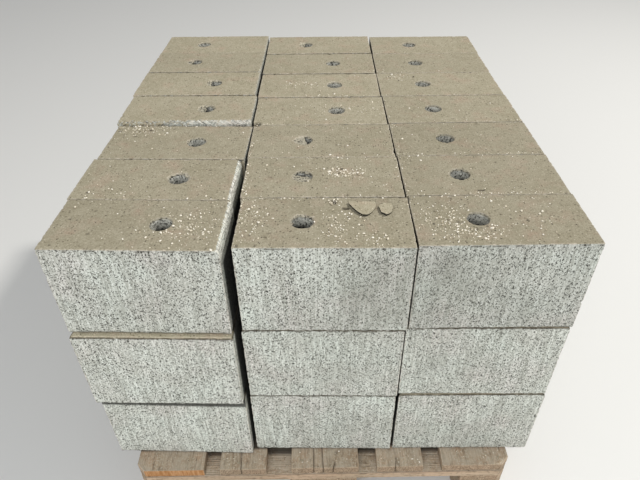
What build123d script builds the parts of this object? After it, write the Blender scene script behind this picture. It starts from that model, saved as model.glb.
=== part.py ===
from build123d import *

import os
from dataclasses import dataclass
from math import radians, sin

# Concrete block: a solid modular unit, cast upright with one round core.
# All sizes are in millimetres, and all turns in degrees.
BLOCK_LENGTH = 290.0
BLOCK_DEPTH = 140.0
BLOCK_HEIGHT = 190.0
BLOCK_ARRIS = 1.5
CORE_DIAMETER = 38.0
CORE_OFFSET = 37.0        # core axis off the block's middle, along its length
SKIN_THICKNESS = 5.0      # skin of concrete that closes the core at the top

# Load: three columns side by side, seven rows deep, three courses high.
COLUMNS = ("left", "centre", "right")
ROWS = 7
SIDE_GAP = 4.0            # between columns, before each block's own sideways step
ROW_GAP = 3.0             # between rows of the two lower courses
LOAD_SETBACK = 43.0       # front line of the load behind the pallet's front edge
LOAD_SHIFT = -3.0         # middle of the load off the pallet's middle
LOAD_TURN = -1.0          # load turned on the pallet, as it was set down

# Pallet: a four-way timber pallet, its boards along the long side.
PALLET_LENGTH = 1200.0
PALLET_WIDTH = 800.0
BOARD_THICKNESS = 22.0
WIDE_BOARD = 145.0
NARROW_BOARD = 100.0
SPACER_HEIGHT = 78.0
SPACER_LENGTH = 145.0
SPACER_ROWS = 3
CORNER_CUT = 18.0         # the plan's four corners, cut at 45 degrees
ENTRY_CHAMFER = 8.0       # upper edges of the runners, where wheels roll over
ENTRY_CHAMFER_END = 15.0  # kept square beside each spacer
DECK_STEPS = (0.0, -8.0, 4.0, 1.0, 0.0)  # each deck board off its even spacing

CROSS_BOARD_BASE = BOARD_THICKNESS + SPACER_HEIGHT
DECK_BASE = CROSS_BOARD_BASE + BOARD_THICKNESS
PALLET_HEIGHT = DECK_BASE + BOARD_THICKNESS
ON_BASE = (Align.CENTER, Align.CENTER, Align.MIN)


@dataclass
class Column:
    """One column of a course, from its front block to its rear one."""

    front: float    # front face of the first block, behind the load's front line
    steps: tuple    # sideways step of each block off the grid
    gaps: tuple     # clear gap behind each block but the last
    turns: tuple    # turn of each block about its own middle
    cores: tuple    # side of the block that its core is on, 1 right and -1 left


def hidden_column(front, step, front_turn, core):
    """A lower course's column, where only the front block can be seen."""
    return Column(
        front=front,
        steps=(step,) * ROWS,
        gaps=(ROW_GAP,) * (ROWS - 1),
        turns=(front_turn,) + (0.0,) * (ROWS - 1),
        cores=(core,) * ROWS,
    )


COURSES = {
    "bottom": {
        "left": hidden_column(-5.0, 2.0, -1.6, 1),
        "centre": hidden_column(2.0, 5.0, -0.7, -1),
        "right": hidden_column(2.5, 6.0, 0.1, -1),
    },
    "middle": {
        "left": hidden_column(-16.0, -1.0, -1.0, 1),
        "centre": hidden_column(0.5, 6.0, -0.5, -1),
        "right": hidden_column(4.5, 5.0, -0.4, -1),
    },
    "top": {
        "left": Column(
            front=-4.0,
            steps=(-4.0, -4.0, 4.5, 1.5, -3.0, -3.0, -3.0),
            gaps=(0.6, 2.0, 2.5, 5.0, 6.5, 3.0),
            turns=(-1.4, -1.2, -1.3, -0.5, 0.0, -0.4, 0.0),
            cores=(1, 1, 1, 1, 1, -1, -1),
        ),
        "centre": Column(
            front=-1.0,
            steps=(9.0, 6.0, 4.0, 1.5, -1.0, -2.0, -3.0),
            gaps=(0.6, 0.6, 0.8, 4.5, 6.0, 6.0),
            turns=(-0.5, 0.0, 0.0, 0.2, 0.0, 0.0, 0.3),
            cores=(-1, -1, -1, 1, 1, 1, -1),
        ),
        "right": Column(
            front=4.0,
            steps=(7.2, 4.5, 2.0, 0.0, -3.0, -3.0, -2.0),
            gaps=(0.6, 0.6, 2.0, 2.5, 0.6, 0.6),
            turns=(0.5, 0.3, 0.5, 0.6, 0.6, 0.3, 0.0),
            cores=(-1,) * ROWS,
        ),
    },
}

# A core's skin is given as the share of the mouth that it covers, and the side that
# what is left of it hangs on, 0 the right side and 90 the rear. The lower courses have
# theirs whole. The top course is punched open, with some skin left on these blocks.
WHOLE_SKIN = (1.0, 0.0)
NO_SKIN = (0.0, 0.0)
SKIN_LEFT = {
    ("left", 4): (0.40, 180.0),
    ("left", 5): (0.30, 180.0),
    ("left", 6): (0.35, 180.0),
    ("centre", 2): (0.60, 250.0),
    ("centre", 3): (0.62, 190.0),
    ("centre", 7): (0.35, 180.0),
}

# Some blocks of the top course were cast too full, and stand this much higher.
OVERFILLED = {("left", 4): 6.0, ("left", 5): 6.0, ("left", 6): 5.0, ("left", 7): 3.0}


def core_void(height, skin):
    """The round hollow of a core, as high as its block, less the skin at its top."""
    void = Cylinder(CORE_DIAMETER / 2, height, align=ON_BASE)
    share, side = skin
    if share > 0:
        cover = Box(CORE_DIAMETER, CORE_DIAMETER, SKIN_THICKNESS, align=ON_BASE)
        across = Pos((1 - share) * CORE_DIAMETER, 0, height - SKIN_THICKNESS)
        void -= Rot(0, 0, side) * across * cover
    return void


def concrete_block(core_side, height=BLOCK_HEIGHT, skin=WHOLE_SKIN):
    """One block standing on z = 0, its arrises broken and its core open below."""
    body = Box(BLOCK_LENGTH, BLOCK_DEPTH, height, align=ON_BASE)
    body = chamfer(body.edges(), BLOCK_ARRIS)
    return body - Pos(core_side * CORE_OFFSET, 0, 0) * core_void(height, skin)


def course_places(columns):
    """Where each block's middle stands in a course, by column and row.

    Two neighbours that are turned differently stand further apart, by how far the
    corner of one swings towards the other.
    """
    places = {}
    for index, name in enumerate(COLUMNS):
        column = columns[name]
        grid_x = (index - (len(COLUMNS) - 1) / 2) * (BLOCK_LENGTH + SIDE_GAP)
        front = column.front
        for row in range(ROWS):
            middle = Pos(grid_x + column.steps[row], front + BLOCK_DEPTH / 2, 0)
            places[name, row + 1] = middle * Rot(0, 0, column.turns[row])
            if row + 1 < ROWS:
                slope = sin(radians(column.turns[row])) - sin(radians(column.turns[row + 1]))
                front += BLOCK_DEPTH + column.gaps[row] + abs(slope) * BLOCK_LENGTH / 2
    return places


def load_blocks():
    """Every concrete block of the load, in place: the top ones singly, others by row."""
    front_line = -PALLET_LENGTH / 2 + LOAD_SETBACK
    parts = {}
    for level, (course, columns) in enumerate(COURSES.items()):
        base = Pos(LOAD_SHIFT, front_line, PALLET_HEIGHT + level * BLOCK_HEIGHT)
        for (name, row), place in course_places(columns).items():
            core = columns[name].cores[row - 1]
            if course == "top":
                height = BLOCK_HEIGHT + OVERFILLED.get((name, row), 0.0)
                skin = SKIN_LEFT.get((name, row), NO_SKIN)
                block = concrete_block(core, height, skin)
                node = f"top_block_{name}_{row}"
            else:
                block = concrete_block(core)
                node = f"{course}_course_row_{row}"
            parts.setdefault(node, []).append(base * Rot(0, 0, LOAD_TURN) * place * block)
    return parts


def pallet_outline():
    """The pallet's plan with its cut corners, as high as the pallet."""
    plan = Rectangle(PALLET_WIDTH, PALLET_LENGTH)
    return extrude(chamfer(plan.vertices(), CORNER_CUT), PALLET_HEIGHT)


def board_line(widths, steps):
    """Middles of boards spread evenly over the pallet's width, plus their steps."""
    gap = (PALLET_WIDTH - sum(widths)) / (len(widths) - 1)
    left = -PALLET_WIDTH / 2
    middles = []
    for width, step in zip(widths, steps):
        middles.append(left + width / 2 + step)
        left += width + gap
    return middles


def runner(width, middle):
    """A bottom board, its upper edges chamfered between the spacers."""
    board = Pos(middle, 0, 0) * Box(width, PALLET_LENGTH, BOARD_THICKNESS, align=ON_BASE)
    entry = (PALLET_LENGTH - SPACER_ROWS * SPACER_LENGTH) / (SPACER_ROWS - 1)
    entry_middle = (SPACER_LENGTH + entry) / 2
    edge_cut = Rot(0, 45, 0) * Box(
        ENTRY_CHAMFER * 2 ** 0.5, entry - 2 * ENTRY_CHAMFER_END, ENTRY_CHAMFER * 2 ** 0.5
    )
    for side in (-1, 1):
        for end in (-1, 1):
            place = Pos(middle + side * width / 2, end * entry_middle, BOARD_THICKNESS)
            board -= place * edge_cut
    return board


def pallet_parts():
    """The pallet's boards, spacers and runners, each trimmed at the cut corners."""
    parts = {}
    deck_widths = (WIDE_BOARD, NARROW_BOARD, WIDE_BOARD, NARROW_BOARD, WIDE_BOARD)
    deck_middles = board_line(deck_widths, DECK_STEPS)
    for number, (width, middle) in enumerate(zip(deck_widths, deck_middles), start=1):
        board = Box(width, PALLET_LENGTH, BOARD_THICKNESS, align=ON_BASE)
        parts[f"deck_board_{number}"] = Pos(middle, 0, DECK_BASE) * board

    runner_widths = {"left": NARROW_BOARD, "centre": WIDE_BOARD, "right": NARROW_BOARD}
    runner_middles = board_line(tuple(runner_widths.values()), (0.0,) * len(runner_widths))
    end_row = (PALLET_LENGTH - SPACER_LENGTH) / 2
    for row, middle_y in {"front": -end_row, "middle": 0.0, "rear": end_row}.items():
        board = Box(PALLET_WIDTH, SPACER_LENGTH, BOARD_THICKNESS, align=ON_BASE)
        parts[f"cross_board_{row}"] = Pos(0, middle_y, CROSS_BOARD_BASE) * board
        for (side, width), middle_x in zip(runner_widths.items(), runner_middles):
            spacer = Box(width, SPACER_LENGTH, SPACER_HEIGHT, align=ON_BASE)
            place = Pos(middle_x, middle_y, BOARD_THICKNESS)
            parts[f"spacer_{row}_{side}"] = place * spacer
    for (side, width), middle_x in zip(runner_widths.items(), runner_middles):
        parts[f"runner_{side}"] = runner(width, middle_x)

    outline = pallet_outline()
    return {node: [piece & outline] for node, piece in parts.items()}


os.makedirs("parts", exist_ok=True)
for node, pieces in (pallet_parts() | load_blocks()).items():
    solids = [solid for piece in pieces for solid in piece.solids()]
    shape = solids[0] if len(solids) == 1 else Compound(children=solids)
    export_step(shape, f"parts/{node}.step")
    print(node, len(solids))
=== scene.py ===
# %% [markdown]
# # A pallet of concrete blocks
#
# The real thing is a timber pallet with 63 solid concrete blocks stacked dry on it, three
# columns wide, seven rows deep and three courses high. Nothing straps or wraps it.
#
# A CAD model already fixes every size and place. It could be dressed with materials alone,
# but its faces are flat and its arrises sharp, and cast concrete and sawn timber are known
# by their worn edges. So each block and board gets a new surface here, worked out with
# numpy: a closed box of grid lines that are moved inwards, never outwards, as casting and
# handling left the real one.

# %% Load the frame
from dataclasses import dataclass
from math import ceil, radians

import bpy
import numpy as np
from mathutils import Matrix, Vector


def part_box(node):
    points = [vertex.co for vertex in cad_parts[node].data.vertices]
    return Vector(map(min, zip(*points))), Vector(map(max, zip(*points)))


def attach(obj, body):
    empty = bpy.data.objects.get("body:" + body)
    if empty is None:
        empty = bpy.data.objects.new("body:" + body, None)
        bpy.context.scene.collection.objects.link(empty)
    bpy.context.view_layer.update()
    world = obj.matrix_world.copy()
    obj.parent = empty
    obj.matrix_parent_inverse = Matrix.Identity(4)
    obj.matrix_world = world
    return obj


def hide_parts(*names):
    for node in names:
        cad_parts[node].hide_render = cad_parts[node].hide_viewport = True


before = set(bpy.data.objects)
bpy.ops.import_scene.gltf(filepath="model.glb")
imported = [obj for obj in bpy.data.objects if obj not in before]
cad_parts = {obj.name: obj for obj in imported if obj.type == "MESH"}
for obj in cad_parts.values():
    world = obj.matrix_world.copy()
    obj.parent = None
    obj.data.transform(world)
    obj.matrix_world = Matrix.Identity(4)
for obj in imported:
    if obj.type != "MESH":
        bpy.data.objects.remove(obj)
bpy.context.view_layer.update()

MM = 0.001                # the shapes are worked out in millimetres
scene = bpy.context.scene

# %% [markdown]
# ## Camera
#
# The photograph looks down on the load from in front, from 1.25 m above the floor. Its
# camera was found by matching the block corners: how far apart the front corners are gives
# the distance, and how fast the rows shrink gives the lens. The camera's place could be one
# matrix of numbers, but it is built from three turns, so that each has a name.

# %% Camera
IMAGE_WIDTH = 640
FOCAL_PIXELS = 550.9
SENSOR_WIDTH = 36.0
CAMERA_PLACE = (-6.1, -1223.4, 1252.2)   # mm
CAMERA_DOWN = 38.15       # degrees below the horizon
CAMERA_YAW = 0.46         # degrees to the right of the load's long axis
CAMERA_ROLL = -0.70       # degrees
CLIP_END = 100.0          # m

camera = bpy.data.objects.new("camera", bpy.data.cameras.new("camera"))
scene.collection.objects.link(camera)
scene.camera = camera
camera.data.sensor_width = SENSOR_WIDTH
camera.data.lens = FOCAL_PIXELS / IMAGE_WIDTH * SENSOR_WIDTH
camera.data.clip_end = CLIP_END
camera.matrix_world = (
    Matrix.Translation(Vector(CAMERA_PLACE) * MM)
    @ Matrix.Rotation(radians(-CAMERA_YAW), 4, "Z")
    @ Matrix.Rotation(radians(90 - CAMERA_DOWN), 4, "X")
    @ Matrix.Rotation(radians(CAMERA_ROLL), 4, "Z")
)
print("lens", round(camera.data.lens, 2), "mm")

# %% [markdown]
# ## Floor and light
#
# The load stands in soft, nearly white light from large lamps under a roof. A single sun
# would be simpler, but its hard shadows aren't in the photograph. So a pale world gives the
# even part, a wide lamp in front lights the front faces, and one behind and to the right
# gives the flakes and grit their short shadows. The levels are set so that a colour renders
# about as it is written. The floor is plain, as it is no part of the load.

# %% One function for colours, one for nodes
def colour(code):
    """An sRGB hex code as linear red, green and blue, with an alpha of 1."""
    shares = [int(code[start:start + 2], 16) / 255 for start in (1, 3, 5)]
    linear = [s / 12.92 if s <= 0.04045 else ((s + 0.055) / 1.055) ** 2.4 for s in shares]
    return (*linear, 1.0)


def add(tree, kind, sockets=None, **settings):
    """Adds one shader node with its settings. A socket gets a value or a link."""
    made = tree.nodes.new("ShaderNode" + kind)
    for name, value in settings.items():
        setattr(made, name, value)
    for socket, value in (sockets or {}).items():
        if isinstance(value, bpy.types.NodeSocket):
            tree.links.new(value, made.inputs[socket])
        else:
            made.inputs[socket].default_value = value
    return made


def new_material(name, roughness, specular=0.3):
    """An empty material: its node tree and its shader, with the settings that are even."""
    material = bpy.data.materials.new(name)
    material.use_nodes = True
    shader = material.node_tree.nodes["Principled BSDF"]
    shader.inputs["Roughness"].default_value = roughness
    shader.inputs["Specular IOR Level"].default_value = specular
    return material, material.node_tree, shader


# %% Floor, world and lamps
FLOOR_SIZE = 60.0         # m
FLOOR_COLOUR = "#dfdedb"
WORLD_COLOUR = "#f4f6f8"
WORLD_STRENGTH = 0.46

material, tree, shader = new_material("painted_floor", roughness=0.7)
shader.inputs["Base Color"].default_value = colour(FLOOR_COLOUR)
half = FLOOR_SIZE / 2
floor_mesh = bpy.data.meshes.new("floor")
floor_mesh.from_pydata(
    [(-half, -half, 0), (half, -half, 0), (half, half, 0), (-half, half, 0)], [], [(0, 1, 2, 3)]
)
floor_mesh.materials.append(material)
floor = bpy.data.objects.new("floor", floor_mesh)
scene.collection.objects.link(floor)

world = bpy.data.worlds.new("studio")
world.use_nodes = True
scene.world = world
background = world.node_tree.nodes["Background"]
background.inputs["Color"].default_value = colour(WORLD_COLOUR)
background.inputs["Strength"].default_value = WORLD_STRENGTH

LAMPS = {
    # name: (place, aimed at, size, power, colour), in m and W
    "front": ((-0.4, -3.5, 2.0), (0.0, -0.4, 0.35), 2.4, 88.0, "#fbfdff"),
    "rear_right": ((3.6, 1.0, 5.2), (0.0, -0.1, 0.6), 0.5, 240.0, "#fffdf8"),
}
for name, (place, target, size, power, tint) in LAMPS.items():
    lamp = bpy.data.lights.new(name, "AREA")
    lamp.size = size
    lamp.energy = power
    lamp.color = colour(tint)[:3]
    holder = bpy.data.objects.new(name, lamp)
    scene.collection.objects.link(holder)
    holder.location = place
    holder.rotation_euler = (Vector(target) - Vector(place)).to_track_quat("-Z", "Y").to_euler()
scene.view_settings.view_transform = "Standard"

# %% [markdown]
# ## Noise and pits
#
# Broken edges and pores have no pattern, so they come from noise. Blender's own noise is
# called point by point, which is slow on half a million points, so this one is written
# with whole arrays. It is seeded by whole numbers, and gives the same surface on each run.

# %% Noise on whole arrays
MASK = 0xFFFFFFFF


def hashed(cells, seed):
    """A number from 0 to 1 for each row of three whole numbers.

    The three are multiplied by large primes and added, and the sum's upper bits are
    folded over its lower ones between two more multiplications.
    """
    total = cells[..., 0] * 374761393 + cells[..., 1] * 668265263
    total = (total + cells[..., 2] * 2246822519 + seed * 3266489917) & MASK
    total = ((total ^ (total >> 15)) * 1274126177) & MASK
    total = ((total ^ (total >> 13)) * 1103515245) & MASK
    return (total ^ (total >> 16)) / MASK


def noise(points, size, seed):
    """Smooth noise from -1 to 1, whose lumps are size mm wide (one size, or one an axis).

    Each corner of a lattice has a hashed number, and inside a cell the eight of them are
    blended by 3t^2 - 2t^3 along each axis.
    """
    scaled = points / np.asarray(size, float)
    low = np.floor(scaled).astype(np.int64)
    share = scaled - low
    share = share * share * (3 - 2 * share)
    total = np.zeros(len(points))
    for corner in np.ndindex(2, 2, 2):
        weight = np.prod(np.where(corner, share, 1 - share), axis=-1)
        total += weight * hashed(low + corner, seed)
    return 2 * total - 1


def rough(points, size, seed, octaves=3):
    """Noises added up, each half as wide and half as strong as the one before it, over
    the sum of their strengths."""
    total = np.zeros(len(points))
    for octave in range(octaves):
        total += noise(points, np.asarray(size) / 2**octave, seed + octave) / 2**octave
    return total / (2 - 0.5 ** (octaves - 1))


def pits(points, spacing, share, radius, seed):
    """How deep each point lies in a round pit: 0 outside it, 1 at its middle.

    Each cell of a lattice may hold one pit, at a hashed place and of a hashed radius. A
    point takes the deepest of the 27 cells around it, by 1 - (distance / radius)^2.
    """
    low = np.floor(points / spacing).astype(np.int64)
    deepest = np.zeros(len(points))
    for step in np.ndindex(3, 3, 3):
        cell = low + step - 1
        place = cell + np.stack([hashed(cell, seed + axis) for axis in range(3)], -1)
        reach = radius[0] + (radius[1] - radius[0]) * hashed(cell, seed + 4)
        apart = np.linalg.norm(points - place * spacing, axis=-1)
        depth = np.where(hashed(cell, seed + 3) < share, 1 - (apart / reach) ** 2, 0)
        deepest = np.maximum(deepest, depth)
    return deepest


def fade(value, start, stop):
    """0 up to start, 1 from stop on, and the smooth step 3t^2 - 2t^3 between them."""
    share = np.clip((value - start) / (stop - start), 0, 1)
    return share * share * (3 - 2 * share)


# %% [markdown]
# ## A closed box of grid lines
#
# A block or a board is a box whose six faces share their edge points, so it has no open
# seam. The grid lines crowd towards the edges, where the surface is rounded and chipped,
# and are even between. A face that lies against another block is one flat polygon inside
# a narrow fringe of cells: nobody sees it, and it keeps the mesh light.

# %% Grid lines, faces and lids
EDGE_LINES = (0.0, 0.9, 2.0, 3.5, 6.0)   # mm from a box's edge
FACES = {
    # name: first axis, second axis, fixed axis, its end. First x second points outwards.
    "top": (0, 1, 2, 1),
    "bottom": (1, 0, 2, 0),
    "front": (0, 2, 1, 0),
    "rear": (2, 0, 1, 1),
    "right": (1, 2, 0, 1),
    "left": (2, 1, 0, 0),
}
FACE_AT = {(fixed, end): name for name, (first, second, fixed, end) in FACES.items()}


def lines(low, high, stops, spacing):
    """Grid lines from low to high: graded at both ends, through every stop, and with
    enough lines between to keep neighbours within the spacing."""
    fixed = [low + edge for edge in EDGE_LINES] + [high - edge for edge in EDGE_LINES]
    fixed = np.unique(np.round([*fixed, *stops], 4))
    counts = [max(1, ceil((b - a) / spacing - 1e-6)) for a, b in zip(fixed, fixed[1:])]
    parts = [np.linspace(a, b, n, endpoint=False) for a, b, n in zip(fixed, fixed[1:], counts)]
    return np.append(np.concatenate(parts), fixed[-1])


def face_numbers(lattice, face):
    """The numbers of the lattice's points on one face, as a grid of first x second."""
    first, second, fixed, end = FACES[face]
    counts = [len(axis) for axis in lattice]
    place = [None, None, None]
    place[first], place[second] = np.meshgrid(
        np.arange(counts[first]), np.arange(counts[second]), indexing="ij"
    )
    place[fixed] = np.full_like(place[first], end * (counts[fixed] - 1))
    return np.ravel_multi_index(place, counts)


def cells_of(grid, hollow=None):
    """Four-sided faces between a grid's neighbours, less those in the hollow."""
    cells = np.stack([grid[:-1, :-1], grid[1:, :-1], grid[1:, 1:], grid[:-1, 1:]], -1)
    keep = np.ones(cells.shape[:2], bool)
    if hollow:
        keep[hollow[0]:hollow[1], hollow[2]:hollow[3]] = False
    return cells[keep]


def rim_of(grid, hollow):
    """The points around a hollow, each once, anticlockwise seen from outside."""
    part = grid[hollow[0]:hollow[1] + 1, hollow[2]:hollow[3] + 1]
    return np.concatenate([part[:-1, 0], part[-1, :-1], part[:0:-1, -1], part[0, :0:-1]])


def fringe(face, shown, shape):
    """The hollow of a covered face: all of it but the graded cells beside shown faces."""
    first, second, _, _ = FACES[face]
    depth = len(EDGE_LINES) - 1
    sides = [(first, 0), (first, 1), (second, 0), (second, 1)]
    keep = [depth if FACE_AT[side] in shown else 0 for side in sides]
    return (keep[0], shape[0] - 1 - keep[1], keep[2], shape[1] - 1 - keep[3])


def lid(points, edge, ring):
    """Two flat polygons between an edge and a ring of points that stands inside it.

    They are split along two cuts, from the ring's left and right to the edge's.
    """
    def at_side(numbers, side):
        """The place in the list of the point that is far out on that side of the ring's
        middle, and level with it, which counts four times."""
        offset = points[numbers] - points[ring].mean(0)
        return int(np.argmax(side * offset[:, 0] - 4 * np.abs(offset[:, 1])))

    def arc(numbers, start, stop):
        """The part of a closed list from one place to another."""
        return np.roll(numbers, -start)[: (stop - start) % len(numbers) + 1]

    left, right = at_side(edge, -1), at_side(edge, 1)
    ring_left, ring_right = at_side(ring, -1), at_side(ring, 1)
    return [
        np.concatenate([arc(edge, left, right), arc(ring, ring_right, ring_left)]),
        np.concatenate([arc(edge, right, left), arc(ring, ring_left, ring_right)]),
    ]


def between(rings):
    """Four-sided faces between each ring of points and the next one inwards or down."""
    outer, inner = rings[:-1], rings[1:]
    ahead = [np.roll(ring, -1, axis=1) for ring in (outer, inner)]
    return np.stack([outer, ahead[0], ahead[1], inner], -1).reshape(-1, 4)


def lattice_points(lattice, numbers):
    """Where the lattice's numbered points are."""
    place = np.unravel_index(numbers, [len(axis) for axis in lattice])
    return np.stack([axis[index] for axis, index in zip(lattice, place)], -1)


# %% A finished piece from its arrays
@dataclass
class Shell:
    """One closed surface: points in mm, four-sided faces, larger polygons, and what
    each point carries for the materials, by name."""

    points: np.ndarray
    quads: np.ndarray
    polygons: list
    carried: dict


def joined(shells):
    """Several shells as one, with the later ones' point numbers moved up."""
    starts = np.cumsum([0] + [len(shell.points) for shell in shells])
    return Shell(
        np.concatenate([shell.points for shell in shells]),
        np.concatenate([shell.quads + start for shell, start in zip(shells, starts)]),
        [edge + start for shell, start in zip(shells, starts) for edge in shell.polygons],
        {
            name: np.concatenate([shell.carried[name] for shell in shells])
            for name in shells[0].carried
        },
    )


def make_piece(name, shell, material, nodes=()):
    """Puts a shell into Blender, lets it ride and stand for CAD nodes, and gives its
    number of triangles."""
    mesh = bpy.data.meshes.new(name)
    faces = shell.quads.tolist() + [edge.tolist() for edge in shell.polygons]
    mesh.from_pydata(shell.points * MM, [], faces)
    smooth = np.arange(len(faces)) < len(shell.quads)
    mesh.polygons.foreach_set("use_smooth", smooth)
    for title, values in shell.carried.items():
        kind, field = ("FLOAT_VECTOR", "vector") if values.ndim == 2 else ("FLOAT", "value")
        attribute = mesh.attributes.new(title, kind, "POINT")
        attribute.data.foreach_set(field, np.ravel(values).astype(np.float32))
    mesh.materials.append(material)
    piece = bpy.data.objects.new(name, mesh)
    scene.collection.objects.link(piece)
    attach(piece, "root")
    if nodes:
        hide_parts(*nodes)
    mesh.calc_loop_triangles()
    return len(mesh.loop_triangles)


# %% [markdown]
# ## Where each block stands
#
# The blocks aren't on an even grid: each is a little turned and set back, as it was put
# down. The places could be written down here, but they would go out of step with the CAD,
# so they are read from the frame. A CAD node's mesh is loose triangles, and some nodes hold
# three blocks, so its points are first gathered into solids. A block's turn is then the
# angle at which the box around its plan is smallest.

# %% Read the blocks from the frame
COLUMNS = ("left", "centre", "right")
ROWS = 7
TURNS = (-6.0, 6.0, 0.02)                # degrees: the turns tried, from, up to, and step
ARRIS_ZONE = 5.0                         # mm: only a core's circle stands further in
AT_FOOT = 0.1                            # mm above a block's underside


@dataclass
class Block:
    """One concrete block, as the frame has it."""

    course: str
    column: str
    row: int
    place: np.ndarray     # middle of its underside
    turn: float
    size: np.ndarray      # length, depth, height
    core: np.ndarray      # its core's axis, off the block's middle
    core_radius: float

    def is_at(self, spot):
        """Whether this is the block of that course, column and row."""
        return (self.course, self.column, self.row) == spot


def solids_of(node):
    """A CAD node's points, gathered by solid.

    Corners that coincide get one number. Then the lowest number of each triangle spreads
    over its three corners, again and again, until each solid has one number.
    """
    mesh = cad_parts[node].data
    corners = np.empty(len(mesh.vertices) * 3)
    mesh.vertices.foreach_get("co", corners)
    points, number = np.unique(
        np.round(corners.reshape(-1, 3) / MM, 2), axis=0, return_inverse=True
    )
    triangles = np.empty(len(mesh.loops), np.int32)
    mesh.loops.foreach_get("vertex_index", triangles)
    triangles = number.ravel()[triangles].reshape(-1, 3)
    label = np.arange(len(points))
    settled = False
    while not settled:
        spread = label.copy()
        np.minimum.at(spread, triangles, label[triangles].min(1)[:, None])
        settled = bool((spread == label).all())
        label = spread
    return [points[label == number] for number in np.unique(label)]


def read_block(points, course, column, row):
    """A block's place, turn, size and core, from its points."""
    angles = np.radians(np.arange(*TURNS))
    across = np.outer(points[:, 0], np.cos(angles)) + np.outer(points[:, 1], np.sin(angles))
    along = np.outer(points[:, 1], np.cos(angles)) - np.outer(points[:, 0], np.sin(angles))
    best = int(np.argmin(np.ptp(across, 0) * np.ptp(along, 0)))
    turned = np.stack([across[:, best], along[:, best], points[:, 2]], -1)
    low, high = turned.min(0), turned.max(0)
    middle = (low + high) / 2
    inside = (np.abs(turned - middle)[:, :2] < (high - low)[:2] / 2 - ARRIS_ZONE).all(1)
    circle = turned[inside & (turned[:, 2] < low[2] + AT_FOOT)]
    cosine, sine = np.cos(angles[best]), np.sin(angles[best])
    place = np.array([
        middle[0] * cosine - middle[1] * sine, middle[0] * sine + middle[1] * cosine, low[2]
    ])
    core = (circle.min(0) + circle.max(0))[:2] / 2 - middle[:2]
    radius = np.ptp(circle[:, 0]) / 2
    return Block(course, column, row, place, angles[best], high - low, core, radius)


blocks = []
for row in range(1, ROWS + 1):
    for course in ("bottom", "middle"):
        solids = sorted(solids_of(f"{course}_course_row_{row}"), key=lambda s: s[:, 0].mean())
        for column, points in zip(COLUMNS, solids):
            blocks.append(read_block(points, course, column, row))
    for column in COLUMNS:
        points = solids_of(f"top_block_{column}_{row}")[0]
        blocks.append(read_block(points, "top", column, row))
print(len(blocks), "blocks, core radius", blocks[0].core_radius, "size", blocks[0].size)

# %% [markdown]
# ## How concrete wears
#
# A block like this is pressed from a stiff mix. Its faces keep pores and faint upright
# drag lines from the mould, and its top is trowelled smooth. Every arris loses crumbs, and
# here and there a chip. Wear could be drawn as bumps in the material alone, but a broken
# arris shows against what is behind it, so the mesh itself loses it. The surface moves
# along the line to the nearest point of a smaller box, which is straight in on a face and
# slantwise on an arris, by a depth in mm where a noise of its own is high.

# %% Wear of one block's surface
ON_FACE = 0.01            # mm: a point as near as this to a face's plane lies on the face
OWN_PLACE = 1000.0        # mm between the places where two pieces read the same noise
INTO = 9.0                # mm: how much smaller the box is that worn points move towards
CHIP, CRUMB, SEAM_LOSS = 3.6, 1.1, 1.9   # mm off an arris: chips, crumbs, where blocks rub
PORE, DRAG, GRAIN, GROOVE = 1.3, 0.22, 0.12, 1.1   # mm off a side
DIMPLE, TOP_WAVES = 1.6, 0.06            # mm off a top


def inward(points, middle, half, depth):
    """Unit steps from each surface point to the nearest point of a box that is smaller
    by depth on every side, and that nearest point. The box has a middle and half sizes."""
    reach = half - np.reshape(depth, (-1, 1))
    nearest = middle + np.clip(points - middle, -reach, reach)
    step = nearest - points
    return step / np.linalg.norm(step, axis=1, keepdims=True), nearest


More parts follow.
